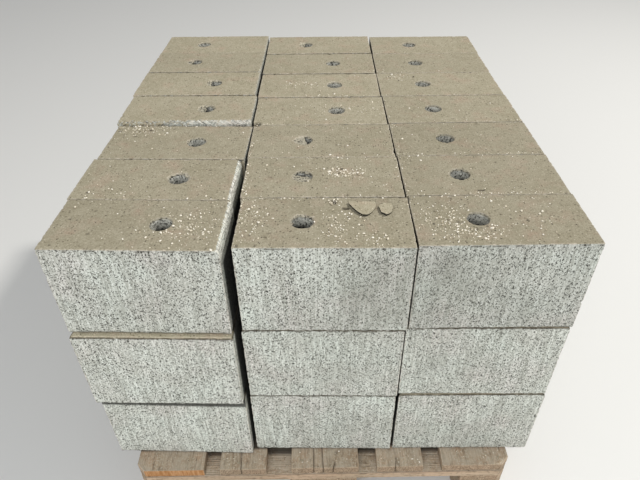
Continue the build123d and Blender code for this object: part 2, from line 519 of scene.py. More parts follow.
def worn_block(points, seeded, size, seams):
    """The points of a block's surface after casting and handling.

    The seams are the heights at which another block lies against this one: the arrises
    there have lost more. Gives the moved points, how worn each is, and how dark it is: deep
    in a pit, or in the painted shade of the groove and the seams, both 0 to 1.
    """
    middle = np.array([0, 0, size[2] / 2])
    gap = np.sort(size / 2 - np.abs(points - middle), axis=1)
    to_edge = np.maximum(gap[:, 1], 0)
    is_top = points[:, 2] > size[2] - ON_FACE
    is_side = ~is_top & (points[:, 2] > ON_FACE)
    below_top = size[2] - points[:, 2]

    # Every arris is rounded, here more and there less.
    radius = 0.5 + 0.9 * fade(noise(seeded, 24, 11), 0.0, 0.9)
    step, nearest = inward(points, middle, size / 2, radius)
    moved = nearest - step * radius[:, None]

    # Chips and crumbs break from the arrises, most where two blocks rub.
    chip = CHIP * fade(rough(seeded, 13, 21), 0.40, 0.8) * fade(to_edge, 7.0, 1.0)
    crumb = CRUMB * fade(noise(seeded, 4.5, 31), 0.1, 0.8) * fade(to_edge, 3.5, 0.5)
    seam = np.zeros(len(points))
    for height in seams:
        seam = np.maximum(seam, fade(np.abs(points[:, 2] - height), 4.6, 0.9))
    seam *= fade(to_edge, 4.6, 0.9) * (0.5 + 0.5 * fade(rough(seeded, 8, 35), -0.3, 0.5))
    crumb = crumb + SEAM_LOSS * seam

    # The sides have pores, drag lines and grain, and a broken groove where the trowelled
    # film ends, 1 to 6 mm below the top. The top has dimples and is a little wavy.
    pitted = pits(seeded, 9.0, 0.35, (1.2, 2.2), 41)
    dimpled = pits(seeded, 26.0, 0.3, (1.6, 3.4), 51)
    drag = DRAG * (1 + noise(seeded, (2.6, 2.6, 70), 61))
    grain = GRAIN * (1 + noise(seeded, 3.2, 71))
    side = is_side * fade(to_edge, 0.0, 3.0) * (drag + grain + PORE * pitted)
    top = is_top * (TOP_WAVES * (1 + noise(seeded, 9, 81)) + DIMPLE * dimpled)
    groove = fade(below_top, 1.0, 2.2) * fade(below_top, 6.0, 3.8)
    groove = is_side * groove * GROOVE * fade(rough(seeded, (14, 14, 500), 91), 0.0, 0.3)
    step, _ = inward(points, middle, size / 2, INTO)
    moved = moved + step * (chip + crumb + side + top + groove)[:, None]

    wear = np.clip(chip / 2.5 + crumb, 0, 1) + 0.6 * fade(to_edge, 2.2, 0.5)
    wear *= 1 - fade(seam, 0.1, 0.4)
    # Pits darken, and so do the groove under the film and the seams: painted shade in those recesses.
    pit = np.where(is_top, dimpled, np.where(is_side, pitted, 0)) + 0.7 * (groove > 0.6)
    pit = pit + 1.3 * fade(seam, 0.3, 0.7)
    return moved, np.clip(wear, 0, 1), np.clip(pit, 0, 1)


# %% [markdown]
# ## The core's mouth
#
# Each block has one round core off its middle, which a thin skin closes at the top as it
# comes from the mould. On the top course the skins are punched out. Where only a part of
# one went, the rest hangs in the mouth, a little sunk. A hole could be cut into the mesh,
# but a cut leaves slivers and no room for a ragged rim. So the square of cells around a
# core is left out, and every point of its edge looks at the middle of the opening. Rings
# of points follow those lines: over the collar to the rim, down onto the sunk skin and
# over it to the opening, back under the skin to the core's wall, and down the wall.

# %% Rings of a mouth
PATCH = 27.0              # mm, half the side of the square of cells that a mouth replaces
SKIN = 5.0                # mm, thickness of the skin at a core's top
BLIND_SIDES = 24          # points around a core that nobody sees
COLLAR_SHARES = (0.3, 0.6, 0.82, 0.94)   # of the way from the square's edge to the rim
SUNK_SKIN = (
    # share of the way from the wall to the opening, depth in mm
    (0.02, 1.7), (0.1, 2.2), (0.25, 2.4), (0.4, 2.4), (0.55, 2.5), (0.7, 2.5), (0.85, 2.6), (1.0, 3.0),
)
WALL_DEPTHS = (7.5, 9.5, 12, 15, 19, 24, 30, 38, 50, 70, 110)


@dataclass
class Mouth:
    """How a core's skin was broken."""

    share: float = 0.0    # part of the mouth's width that sunken skin still closes
    side: float = 0.0     # the side that this skin hangs on, 0 right and 90 rear
    ragged: float = 1.0   # mm, bits of skin that stand into the opening
    spall: float = 1.6    # mm, how far the rim is chipped back at the top


MOUTHS = {
    ("left", 1): Mouth(ragged=0.6, spall=0.9),
    ("left", 2): Mouth(ragged=3.4, spall=2.8),
    ("left", 3): Mouth(ragged=2.6, spall=1.8),
    ("left", 4): Mouth(0.40, 180, 6.0, 2.0),
    ("left", 5): Mouth(0.30, 180, 6.0, 2.0),
    ("left", 6): Mouth(0.35, 180, 6.0, 1.5),
    ("centre", 1): Mouth(ragged=4.8, spall=3.6),
    ("centre", 2): Mouth(0.60, 250, 5.0, 1.4),
    ("centre", 3): Mouth(0.62, 190, 5.0, 1.4),
    ("centre", 7): Mouth(0.35, 180, 6.0, 1.4),
    ("right", 2): Mouth(ragged=3.4, spall=2.6),
}


def mouth_rings(square, block, mouth, seed):
    """The points of a mouth and its core, ring by ring, from the square's edge inwards.

    Each ring has a point on every line from the opening's middle to a point of the edge.
    Along a line, the core's circle is met at -b + sqrt(b^2 - c), and the edge of the
    skin that is left, a straight line across the mouth, where the line's part towards
    the skin's side reaches it. The opening ends at the nearer of the two.
    """
    height, radius = block.size[2], block.core_radius
    side = np.array([np.cos(radians(mouth.side)), np.sin(radians(mouth.side))])
    middle = block.core - side * radius * mouth.share
    line = square[:, :2] - middle
    square_reach = np.linalg.norm(line, axis=1)
    line = line / square_reach[:, None]
    offset = middle - block.core
    b, c = line @ offset, offset @ offset - radius**2
    wall = -b + np.sqrt(b * b - c)
    towards = np.maximum(line @ side, 1e-6)
    opening = np.minimum(wall, radius * (1 - mouth.share) / towards)

    def ring(reach, z):
        """A point on every line, that far from the middle and at that height."""
        return np.column_stack([middle + line * reach[:, None], np.full(len(line), z)])

    own = OWN_PLACE * seed
    around = ring(opening, height) + own
    bits = fade(rough(around, 11, 101), -0.2, 0.7)
    opening = np.minimum(opening, wall - 0.2) - mouth.ragged * bits
    rim = wall + mouth.spall * (0.25 + 1.5 * fade(rough(around, 9, 111), 0.0, 0.7))

    # Each station is how far out a ring runs, and how deep. The collar is level up to the
    # rim, and from there the surface drops to the sunk skin.
    stations = [(rim + (square_reach - rim) * (1 - share), 0.0) for share in COLLAR_SHARES]
    stations += [(rim, 0.1), (0.6 * rim + 0.4 * wall, 0.9)]
    for share, depth in SUNK_SKIN:
        reach = wall + (opening - wall) * share
        lumps = rough(ring(reach, height) + own, 7, 121)
        stations.append((reach, depth + 0.8 * lumps * min(1.0, depth - 1)))
    # At the opening it goes down the skin's edge, back below it, and down the rough wall.
    stations += [(opening + 0.4, SKIN - 0.4), ((opening + wall) / 2, SKIN), (wall, SKIN + 0.8)]
    for depth in WALL_DEPTHS:
        lumps = 1.9 * rough(ring(wall, -depth) + own, 9, 131) - 0.6
        stations.append((wall + lumps, depth))
    stations.append((wall, height))
    return np.stack([ring(reach, height - depth) for reach, depth in stations])


def blind_rings(block):
    """The two rings of a core that is still closed: under its skin and at its foot."""
    angle = np.arange(BLIND_SIDES) / BLIND_SIDES * 2 * np.pi
    circle = block.core + block.core_radius * np.column_stack([np.cos(angle), np.sin(angle)])
    heights = (block.size[2] - SKIN, 0.0)
    return np.stack([np.column_stack([circle, np.full(BLIND_SIDES, z)]) for z in heights])


# %% [markdown]
# ## The box of one block
#
# The fine lines go only where a face is seen. Blocks near the camera have cells of 2.6 mm,
# about one pixel of the photograph, and the others wider ones.

# %% Which faces show, and the cells that they need
NEAR, FAR, BACK = 2.6, 4.0, 6.5          # mm between grid lines
NEAR_ROWS = 2
WIDE_GAP = {("top", 1), ("top", 2), ("middle", 1), ("bottom", 1)}  # right of the left column


def beside_gap(block):
    """Whether the gap between the left and the centre column is wide at a block's row."""
    return (block.course, block.row) in WIDE_GAP


def shown_faces(block):
    """The faces of a block that can be seen from somewhere outside the load."""
    shown = {block.column} & {"left", "right"}
    shown |= {"front"} if block.row == 1 else set()
    shown |= {"rear"} if block.row == ROWS else set()
    shown |= {"top"} if block.course == "top" else set()
    shown |= {"right"} if block.column == "left" and beside_gap(block) else set()
    return shown


def block_lattice(block, shown):
    """Grid lines along the block's length, depth and height."""
    length, depth, height = block.size
    near = block.row <= NEAR_ROWS and ("top" in shown or "front" in shown)
    spacing = NEAR if near else (FAR if "top" in shown else BACK)
    along_x = spacing if shown & {"top", "front", "rear"} else length
    along_y = spacing if shown & {"top", "left", "right"} else depth
    along_z = (NEAR if "front" in shown else BACK) if shown - {"top"} else height
    core_x, core_y = block.core
    return (
        lines(-length / 2, length / 2, (core_x - PATCH, core_x + PATCH), along_x),
        lines(-depth / 2, depth / 2, (core_y - PATCH, core_y + PATCH), along_y),
        lines(0.0, height, (), along_z),
    )


def patch_hollow(lattice, block):
    """Where the square around the core lies among the top's grid lines."""
    return tuple(
        int(np.argmin(np.abs(lattice[axis] - block.core[axis] - edge)))
        for axis in (0, 1)
        for edge in (-PATCH, PATCH)
    )


def block_cells(block, shown):
    """A block's points, its four-sided faces, and the edge of each opening in them: of
    the covered faces, which get lids, and of the square around a core that shows."""
    lattice = block_lattice(block, shown)
    quads, edges = [], {}
    for face in FACES:
        grid = face_numbers(lattice, face)
        hollow = None
        if face not in shown:
            hollow = fringe(face, shown, grid.shape)
        elif face == "top":
            hollow = patch_hollow(lattice, block)
        if hollow:
            edges[face] = rim_of(grid, hollow)
        quads.append(cells_of(grid, hollow))
    used = np.unique(np.concatenate([cells.ravel() for cells in quads] + list(edges.values())))
    quads = [np.searchsorted(used, cells) for cells in quads]
    edges = {face: np.searchsorted(used, edge) for face, edge in edges.items()}
    return lattice_points(lattice, used), quads, edges


# %% [markdown]
# ## Dust, wear, and painted light and shade by place
#
# Some of what the eye knows the load by has a place: dust in the joints, painted shade in the
# gaps, arrises that were rubbed bare at the wide gap and carry a painted highlight, painted
# light on the face in that gap, the crumbled edge of a block that was cast too full, a ledge
# given painted light, and tops that pale towards the rear. Lamps alone leave the narrow
# joints too light at this size of cell, so each point also carries how deep in a joint it
# is, and the material darkens it with painted shade. Each effect is one short function.

# %% What lies in the joints and gaps
FAR_AWAY = 1000.0                        # mm, further than any face of a block
LEVEL_HEIGHT = 190.0                     # mm, of a block that was filled as it should be
DUST_IN_JOINT = 5.5                      # mm down a joint between rows, where dust fills it
DUST_IN_SLIT = 0.75                      # the same between columns, as a share of that
SLIT_FACES = {"left": (), "centre": ("left", "right"), "right": ("left",)}   # with that dust
COVERED_FROM = (0.5, 3.0)                # mm into a joint, from where it is in the dark
LIT_IN_GAP = (33.0, 42.0)                # the same in the wide gap beside the left column
LIT_IN_SLIT = (9.0, 16.0)                # and in the narrow one further back
LIT_AT_FRONT = (12.0, 22.0)              # mm behind the front, on the faces at that gap
LIT_LEDGE = (24.0, 17.0)                 # mm behind it, on the tops of the lower courses
SHADED = ("bottom", "left", 1)           # in front, the block above sticks out over it
SHADED_TO = (24.0, 19.0)                 # mm down its face, where that shade ends
SHADE = 0.9


def distances(points, size):
    """How far each point of a block is from the plane of each face, in mm, by face."""
    corners = (size * (-0.5, -0.5, 0.0), size * (0.5, 0.5, 1.0))
    return {
        face: np.abs(points[:, fixed] - corners[end][fixed])
        for face, (_, _, fixed, end) in FACES.items()
    }


def at_load_end(block, away):
    """Whether each point is in the front half of the first row or in the rear half of
    the last, where no other row stands against the block."""
    in_front = away["front"] < away["rear"]
    return (in_front & (block.row == 1)) | (~in_front & (block.row == ROWS))


def dust_in_joints(block, away, seeded):
    """How full of dust the joint is that each point lies in, 0 to 1."""
    in_joint = (np.minimum(away["front"], away["rear"]) < ON_FACE) & ~at_load_end(block, away)
    in_slit = np.zeros(len(seeded), bool)
    for face in SLIT_FACES[block.column]:
        in_slit |= away[face] < ON_FACE
    dusty = fade(rough(seeded, (7, 7, 60), 38), -0.5, 0.0)
    return dusty * np.maximum(in_joint, DUST_IN_SLIT * in_slit)


def shade_in_gaps(block, away, shown, film, dusty):
    """How dark each point is, 0 to 1, by how far it is from a face that the light reaches.

    Dust raises a joint's bottom, and so does a block that stands higher than the rest.
    """
    inside = np.full(len(dusty), FAR_AWAY)
    for face in shown - {"right"} if block.column == "left" else shown:
        inside = np.minimum(inside, away[face])
    inside = inside - DUST_IN_JOINT * dusty - max(0.0, block.size[2] - LEVEL_HEIGHT)
    covered = fade(inside, *COVERED_FROM)
    if block.column == "left":
        reach = LIT_IN_GAP if beside_gap(block) else LIT_IN_SLIT
        from_top = away["top"] + FAR_AWAY * (block.course != "top")
        from_front = away["front"] + FAR_AWAY * (block.row > 1)
        in_gap = np.minimum(fade(from_top, *reach), fade(from_front, *LIT_AT_FRONT))
        covered = np.where(away["right"] < ON_FACE, in_gap, covered)
    if block.column == "centre" and beside_gap(block):
        covered = np.where(away["left"] < ON_FACE, fade(inside, *LIT_IN_GAP), covered)
    if block.row == 1 and block.course != "top":
        covered = covered * (1 - film * fade(away["front"], *LIT_LEDGE))
    if block.is_at(SHADED):
        on_front = away["front"] < ON_FACE
        covered = np.maximum(covered, SHADE * on_front * fade(away["top"], *SHADED_TO))
    return covered


def dark_joint(block, away, film, seeded):
    """How deep each point lies in the dark line at a top's front or rear edge, 0 to 1."""
    to_next_row = np.minimum(away["front"], away["rear"])
    joint = fade(to_next_row, 2.4, 0.6) * film * (block.course == "top")
    joint *= 0.5 * fade(rough(seeded, 7, 37), -0.15, 0.45)
    return joint * ~at_load_end(block, away)


# %% Rubbed arrises, a crumbled edge, and tones
BARE_ARRIS = (8.5, 3.0)                  # mm over which the arrises at the gap are rubbed bare
BARE_DEPTH = 3.0                         # mm that they lose
BARE_BEHIND = 0.3                        # how bare they are further back, where it is narrow
BROKEN_FRONT = ("top", "left", 4)        # the overfilled block whose front edge has crumbled
CRUMBLED = (17.0, 9.0)                   # mm from that edge, where the crumbling fades in
CRUMBLED_DOWN = (9.0, 7.0)               # mm below that top, the same
FRESH = (-70.0, 60.0)                    # mm along it, from where the break is fresh
ROW_TONES = (-1.6, -0.6, -0.8, 0.8, 1.4, 0.5, 1.7)   # the top course pales towards the rear
COLUMN_TONES = {"left": 0.4, "centre": 0.0, "right": -0.8}
OWN_TONE = 0.35                          # by which a block may differ from its neighbours
BARE_TONE_AND_HIGHLIGHT, GAP_PAINTED_LIGHT = 8.0, 6.0           # rubbed arrises, paler and with a painted highlight, and painted light on the face in the gap
LEDGE = ("middle", "left", 1)            # its top sticks out in front, and is given painted light
LEDGE_PAINTED_LIGHT = 9.5


def bare_arris(block, away):
    """How bare each point is rubbed, along the upper right arrises of the left column."""
    if block.course != "top" or block.column != "left":
        return np.zeros(len(away["top"]))
    from_arris = np.hypot(away["right"], away["top"])
    return fade(from_arris, *BARE_ARRIS) * (1.0 if beside_gap(block) else BARE_BEHIND)


def crumble_front(block, points, moved, seeded, looks):
    """Lowers the front edge of a top in lumps, and turns it to broken concrete."""
    height = block.size[2]
    from_front = points[:, 1] + block.size[1] / 2
    lumps = rough(seeded, 6, 47)
    flecks = rough(seeded, 3.6, 48)
    fresh = fade(points[:, 0] + 40 * lumps, *FRESH)
    crumbled = fade(from_front + 6 * lumps, *CRUMBLED)
    crumbled *= fade(points[:, 2], *(height - np.array(CRUMBLED_DOWN)))
    moved[:, 2] -= crumbled * (2.2 + 2.0 * lumps) * fade(from_front, 20.0, 2.0)
    for title in ("top", "wear", "pit", "covered"):
        looks[title] = looks[title] * (1 - crumbled)
    looks["top"] += crumbled * (0.62 - 0.5 * fresh + 0.3 * flecks)
    broken = crumbled * fade(flecks, -0.3, 0.3) * fresh
    looks["wear"] = np.maximum(looks["wear"], broken)
    hollow = crumbled * (0.9 - 0.25 * fresh) * fade(flecks, -0.1, -0.5)
    looks["pit"] = np.maximum(looks["pit"], hollow)


def paler_by(block, away, film, bare):
    """The tone that a block gains: paler rubbed arrises with a painted highlight, and painted
    light on its face in the wide gap and on the ledge.
    """
    paler = np.zeros(len(film))
    if block.column == "left" and beside_gap(block):
        paler = np.maximum(GAP_PAINTED_LIGHT * (away["right"] < ON_FACE), BARE_TONE_AND_HIGHLIGHT * bare**2)
    return paler + LEDGE_PAINTED_LIGHT * film if block.is_at(LEDGE) else paler


# %% Stains, and a painted shadow, on the front of the load
STAINS_AND_SHADOW = (
    # x, z, reach along x and z (mm), strength
    (90, 610, 75, 110, 0.75), (215, 640, 60, 90, 0.7), (330, 560, 60, 80, 0.35),
    (250, 420, 90, 70, 0.35), (20, 400, 90, 60, 0.35), (-250, 600, 90, 60, 0.15),
    (60, 210, 110, 60, 0.35), (290, 200, 80, 60, 0.45), (-20, 520, 60, 50, 0.25),
    # painted shadow on the bottom-left block, under the middle-left one that sticks out over it
    (-360, 322, 160, 9, 0.9), (-220, 322, 90, 9, 0.9),
)


def stain_and_shadow_of(points):
    """How stained each point is, by damp or dirt, or how deep in the painted shadow under the
    block that sticks out: soft spots exp(-distance^2), added up.
    """
    total = np.zeros(len(points))
    for x, z, reach_x, reach_z, strength in STAINS_AND_SHADOW:
        apart = ((points[:, 0] - x) / reach_x) ** 2 + ((points[:, 2] - z) / reach_z) ** 2
        total += strength * np.exp(-apart)
    return np.clip(total, 0, 1)


# %% Build a block
PATTERN_SHIFT = 5.0                      # m, by which the materials' patterns move at most


def core_looks(depth, waves):
    """What the points of a core carry, by their depth below the block's top in mm: film on
    the sunk skin, bare concrete from its broken edge down, and painted shade further below."""
    return {
        "top": fade(depth, 5.6, 4.6),
        "wear": 0.6 * fade(depth, 3.0, 0.5) * (depth > 0.05),
        "pit": 0 * depth,
        "bore": np.maximum(fade(depth, 4.4, 5.2), 0.2 * (depth > 1)),
        "covered": fade(depth + 4 * waves, 18.0, 30.0),
        "tone": 0 * depth,
    }


def weathered(block, points, seeded, shown):
    """A block's points after all of its wear, and what they carry, by name."""
    away, height = distances(points, block.size), block.size[2]
    seams = (0.0,) if block.course == "top" else (0.0, height)
    moved, wear, pit = worn_block(points, seeded, block.size, seams)
    film = (away["top"] < ON_FACE).astype(float)
    bare = bare_arris(block, away)
    if bare.any():
        step, _ = inward(points, np.array([0, 0, height / 2]), block.size / 2, INTO)
        moved += step * (BARE_DEPTH * bare * (0.7 + 0.5 * rough(seeded, 16, 39)))[:, None]
        wear = np.maximum(wear, 0.3 * bare)
        film *= 1 - bare
    dusty = dust_in_joints(block, away, seeded)
    looks = {
        "top": film.copy(),
        "wear": wear,
        "pit": np.maximum(pit, dark_joint(block, away, film, seeded)),
        "bore": 0 * film,
        "covered": shade_in_gaps(block, away, shown, film, dusty),
        "tone": paler_by(block, away, film, bare),
    }
    if block.course == "top":
        looks["top"] = np.maximum(film, dusty * fade(away["top"], 9.0, 5.0))
    if block.is_at(BROKEN_FRONT):
        crumble_front(block, points, moved, seeded, looks)
    return moved, looks


def build_block(block, seed):
    """One block as a closed shell in the row frame: its box, its core and its lids."""
    shown = shown_faces(block)
    points, quads, edges = block_cells(block, shown)
    own = OWN_PLACE * seed
    moved, looks = weathered(block, points, points + own, shown)
    if "top" in shown:
        square = edges.pop("top")
        mouth = MOUTHS.get((block.column, block.row), Mouth())
        rings = mouth_rings(points[square], block, mouth, seed)
    else:
        rings = blind_rings(block)
    chain = len(points) + np.arange(rings.shape[0] * rings.shape[1]).reshape(rings.shape[:2])
    in_core = rings.reshape(-1, 3)
    depth = block.size[2] - in_core[:, 2]
    waves = noise(in_core + own, 9, 81)
    collar = (depth < 0.05) & ("top" in shown)
    lowered = in_core - np.outer(collar * TOP_WAVES * (1 + waves), (0, 0, 1))
    everything = np.concatenate([moved, lowered])
    polygons = lid(everything, edges.pop("bottom"), chain[-1]) + list(edges.values())
    if "top" in shown:
        chain = np.concatenate([square[None], chain])
    else:
        polygons.append(chain[0][::-1])

    cosine, sine = np.cos(block.turn), np.sin(block.turn)
    turn = np.array([[cosine, sine, 0], [-sine, cosine, 0], [0, 0, 1]])
    placed = everything @ turn + block.place
    own_values = np.random.default_rng(seed).uniform(-1, 1, 4)
    level = (ROW_TONES[block.row - 1] + COLUMN_TONES[block.column]) * (block.course == "top")
    below = core_looks(depth, waves)
    carried = {title: np.concatenate([looks[title], below[title]]) for title in looks}
    carried["tone"] = OWN_TONE * own_values[3] + level + carried["tone"]
    carried["stain_and_shadow"] = stain_and_shadow_of(placed)
    carried["cast"] = np.concatenate([points, in_core]) * MM + PATTERN_SHIFT * own_values[:3]
    return Shell(placed, np.concatenate([*quads, between(chain)]), polygons, carried)


# %% [markdown]
# ## Dents that the photograph shows
#
# A few pits on the tops are large enough to be known by their place. Each is a shallow
# bowl that turns dark towards its middle, and the deepest, at a corner of a block, is a
# broken-off chip. One, to the left of the large flake, is a shallow dip with a painted
# shadow, which stands for that flake's shadow.

# %% Dents on the tops
DENTS = (
    # x, y, radius along x, radius along y, depth (mm)
    (24, -432, 8.0, 7.0, 4.5),
    (-414, -388, 4.5, 4.0, 2.5),
    (288, -402, 8.0, 3.5, 3.0),
    (-131, -128, 10.0, 11.0, 9.0),
    # painted shadow of the large flake, to its left: a shallow dip darkened
    (45, -452, 8.0, 5.0, 2.2),
    (-421, -151, 4.0, 4.0, 2.0),
    (-396, -130, 5.0, 4.0, 2.5),
    (-356, -150, 4.5, 4.5, 2.5),
    (-382, -175, 3.5, 3.5, 2.0),
)


def dent_tops(shell):
    """Lowers the top's points in each dent by depth x (1 - (distance / radius)^2)."""
    points, top = shell.points, shell.carried["top"]
    for x, y, reach_x, reach_y, depth in DENTS:
        apart = ((points[:, 0] - x) / reach_x) ** 2 + ((points[:, 1] - y) / reach_y) ** 2
        share = np.clip(1 - apart, 0, 1) * (top > 0.5)
        points[:, 2] -= depth * share
        shell.carried["pit"] = np.maximum(shell.carried["pit"], fade(share, 0.0, 0.45))


# %% [markdown]
# ## Concrete
#
# Pressed concrete is a pale cool grey, full of dark pores of 1 to 3 mm and faint upright
# lines. Its trowelled top is another colour: a smooth tan film of fines and dust, with
# sparse pits. The pores could be spots in space, but a face cuts those at any height and
# shows mostly their edges. So the spots are flat ones on the unrolled face, with x + y
# along it and z up, and noise bends them out of round. One material does faces and top,
# and is steered by what the mesh carries. Its patterns read the block's own coordinates,
# moved by another amount for each block, so none runs on from one block into the next.

# %% Patterns for every material
MIX_A, MIX_B, MIX_OUT = 6, 7, 2          # the colour sockets of a Mix node
SPOT_CORE = 0.55                         # share of a spot's radius from where it is full


def per_mm(size):
    """A texture scale that gives features of that many millimetres."""
    return 1.0 / (size * MM)


def carried_by_mesh(tree, *names):
    """The values that the mesh carries under those names."""
    return [add(tree, "Attribute", attribute_name=name).outputs["Fac"] for name in names]


def times(tree, first, second):
    """The product of two masks, or of a mask and a number."""
    return add(tree, "Math", {0: first, 1: second}, operation="MULTIPLY").outputs[0]


def shifted(tree, vector, at=(0, 0, 0), scale=(1, 1, 1)):
    """The same coordinates, moved or stretched, so that two patterns don't coincide."""
    return add(tree, "Mapping", {"Vector": vector, "Location": at, "Scale": scale}).outputs[0]


def clouds(tree, vector, size, detail=2.0, low=0.35, high=0.65, **moved):
    """Soft patches, 0 where the noise is under low and 1 where it is over high. They are
    moved by at, in m, or stretched by scale, if that is given."""
    if moved:
        vector = shifted(tree, vector, **moved)
    texture = add(tree, "TexNoise", {"Vector": vector, "Scale": per_mm(size), "Detail": detail})
    sockets = {"Value": texture.outputs["Fac"], "From Min": low, "From Max": high}
    return add(tree, "MapRange", sockets).outputs["Result"]


def speckle(tree, vector, cell, share, reach, crowding=None, dimensions="3D", **moved):
    """Spots in some cells of a Voronoi pattern, in space or in the plane of x and y.

    A cell has a spot where its random red value, less the crowding, is under the share,
    and the spot reaches that part of the cell's size from its middle.
    """
    if moved:
        vector = shifted(tree, vector, **moved)
    cells = add(tree, "TexVoronoi", {"Vector": vector, "Scale": per_mm(cell)},
                voronoi_dimensions=dimensions)
    sockets = {"Value": cells.outputs["Distance"], "From Min": reach, "From Max": reach * SPOT_CORE}
    inside = add(tree, "MapRange", sockets).outputs["Result"]
    red = add(tree, "SeparateColor", {"Color": cells.outputs["Color"]}).outputs["Red"]
    if crowding is not None:
        red = add(tree, "Math", {0: red, 1: crowding}, operation="SUBTRACT").outputs[0]
    has_spot = add(tree, "Math", {0: red, 1: share}, operation="LESS_THAN").outputs[0]
    return times(tree, inside, has_spot)


def layered(tree, base, layers):
    """A colour with others over it, each by its mask and strength."""
    for mask, code, strength in layers:
        sockets = {0: times(tree, mask, strength), MIX_A: base, MIX_B: colour(code)}
        base = add(tree, "Mix", sockets, data_type="RGBA").outputs[MIX_OUT]
    return base


def toned(tree, base, spread):
    """A colour made lighter or darker, piece by piece, by the tone that the mesh carries."""
    share = add(tree, "MapRange", {
        "Value": carried_by_mesh(tree, "tone")[0],
        "From Min": -1.0, "From Max": 1.0, "To Min": 1 - spread, "To Max": 1 + spread,
    }, clamp=False).outputs["Result"]
    return add(tree, "VectorMath", {0: base, "Scale": share}, operation="SCALE").outputs[0]


def relief(tree, shader, heights, distance):
    """Bumps from masks, each with its height in units of the distance (m)."""
    total = 0.0
    for mask, height in heights:
        sockets = {0: mask, 1: height, 2: total}
        total = add(tree, "Math", sockets, operation="MULTIPLY_ADD").outputs[0]
    bump = add(tree, "Bump", {"Height": total, "Distance": distance, "Strength": 1.0})
    tree.links.new(bump.outputs["Normal"], shader.inputs["Normal"])


# %% Concrete material
PORES = (
    # cell in mm, share of cells with a pore, radius as a share of the cell, darkness
    (1.9, 0.31, 0.37, 0.80),
    (2.7, 0.20, 0.35, 0.82),
    (5.2, 0.085, 0.26, 0.95),
)
PORE_COLOUR = "#3f3e37"
WANDER, WANDER_SIZE = 2.6, 2.4           # mm, how far noise bends the pores, and its lumps
SQUEEZED = (1, 1, 0.52)                  # pores and clots are twice as high as they are wide
CROWDING = 0.06                          # more of the cells that have a pore, in dense places
BLOCK_SPREAD = 0.055                     # how much lighter a block gets with each unit of tone


def unrolled(tree, vector):
    """Coordinates on the upright faces of a block: x + y along them, and z up."""
    apart = add(tree, "SeparateXYZ", {"Vector": vector}).outputs
    along = add(tree, "Math", {0: apart["X"], 1: apart["Y"]}, operation="ADD").outputs[0]
    return add(tree, "CombineXYZ", {"X": along, "Y": apart["Z"]}).outputs[0]


def moulded_face(tree, cast):
    """A face that came off the mould: its colour, and masks of its drag lines and pores.

    Real drag lines and grains are about 1 mm wide. They are drawn 2 to 3 mm wide, so
    that they show.
    """
    drag = clouds(tree, cast, 3.4, 1.0, scale=(1, 1, 0.05))   # 3 mm wide, 70 mm high
    wander = add(tree, "TexNoise", {"Vector": cast, "Scale": per_mm(WANDER_SIZE), "Detail": 1.0})
    bent = add(tree, "VectorMath", {
        0: wander.outputs["Color"], 1: (WANDER * MM,) * 3, 2: cast,
    }, operation="MULTIPLY_ADD").outputs[0]
    upright = shifted(tree, bent, scale=SQUEEZED)
    density = clouds(tree, cast, 48, 2.0, 0.32, 0.68)
    crowding = times(tree, density, CROWDING)
    flat = unrolled(tree, upright)
    pores = [
        speckle(tree, flat, cell, share, reach, crowding, "2D") for cell, share, reach, _ in PORES
    ]
    base = layered(tree, colour("#cfd2c9"), [
        # broad greenish, warm and reddish patches
        (clouds(tree, cast, 130, 1.0), "#d2d9cf", 0.7),
        (clouds(tree, cast, 70, at=(1, 2, 3)), "#bdb8ae", 0.5),
        (clouds(tree, cast, 95, 1.0, 0.5, 0.7, at=(7, 2, 3)), "#c0b2ae", 0.4),
        # where pores crowd, along the drag lines, between grains, and pale grains
        (density, "#b4b4aa", 0.12),
        (drag, "#9c9d93", 0.75),
        (clouds(tree, upright, 2.0, 1.0), "#a4a49a", 0.40),
        (speckle(tree, flat, 2.3, 0.36, 0.4, None, "2D", at=(3, 5, 7)), "#f4f6ef", 0.5),
        *[(pore, PORE_COLOUR, dark) for pore, (_, _, _, dark) in zip(pores, PORES)],
    ])
    return base, drag, pores


def trowelled_top(tree, cast):
    """The trowelled film: its colour, and a mask of its small pits. Its real grains are
    under 1 mm, and are drawn 2 to 5 mm wide, so that they show."""
    dots = speckle(tree, cast, 9.5, 0.4, 0.17)
    crowding = times(tree, clouds(tree, cast, 55, 2.0, 0.42, 0.66, at=(9, 1, 5)), 0.34)
    base = layered(tree, colour("#a29a84"), [
        # broad olive, reddish and pale patches, then dust and fine grain
        (clouds(tree, cast, 120, 1.0), "#958d76", 0.8),
        (clouds(tree, cast, 42, 3.0, 0.52, 0.72, at=(1, 2, 3)), "#b09583", 0.6),
        (clouds(tree, cast, 22, 3.0, 0.45, 0.7, at=(4, 2, 3)), "#b5ad98", 0.5),
        (clouds(tree, cast, 6, 3.0), "#b3ab96", 0.5),
        (clouds(tree, cast, 2.2, 1.0), "#877f6a", 0.6),
        # dark and pale grains, then holes and small pits
        (speckle(tree, cast, 4.2, 0.30, 0.36, at=(2, 4, 6)), "#7c745f", 0.75),
        (speckle(tree, cast, 4.6, 0.28, 0.33, at=(6, 4, 2)), "#c9c0aa", 0.6),
        (speckle(tree, cast, 5.6, 0.08, 0.36, crowding, at=(3, 1, 5)), "#665e4c", 0.75),
        (dots, "#554e3f", 0.9),
    ])
    return base, dots


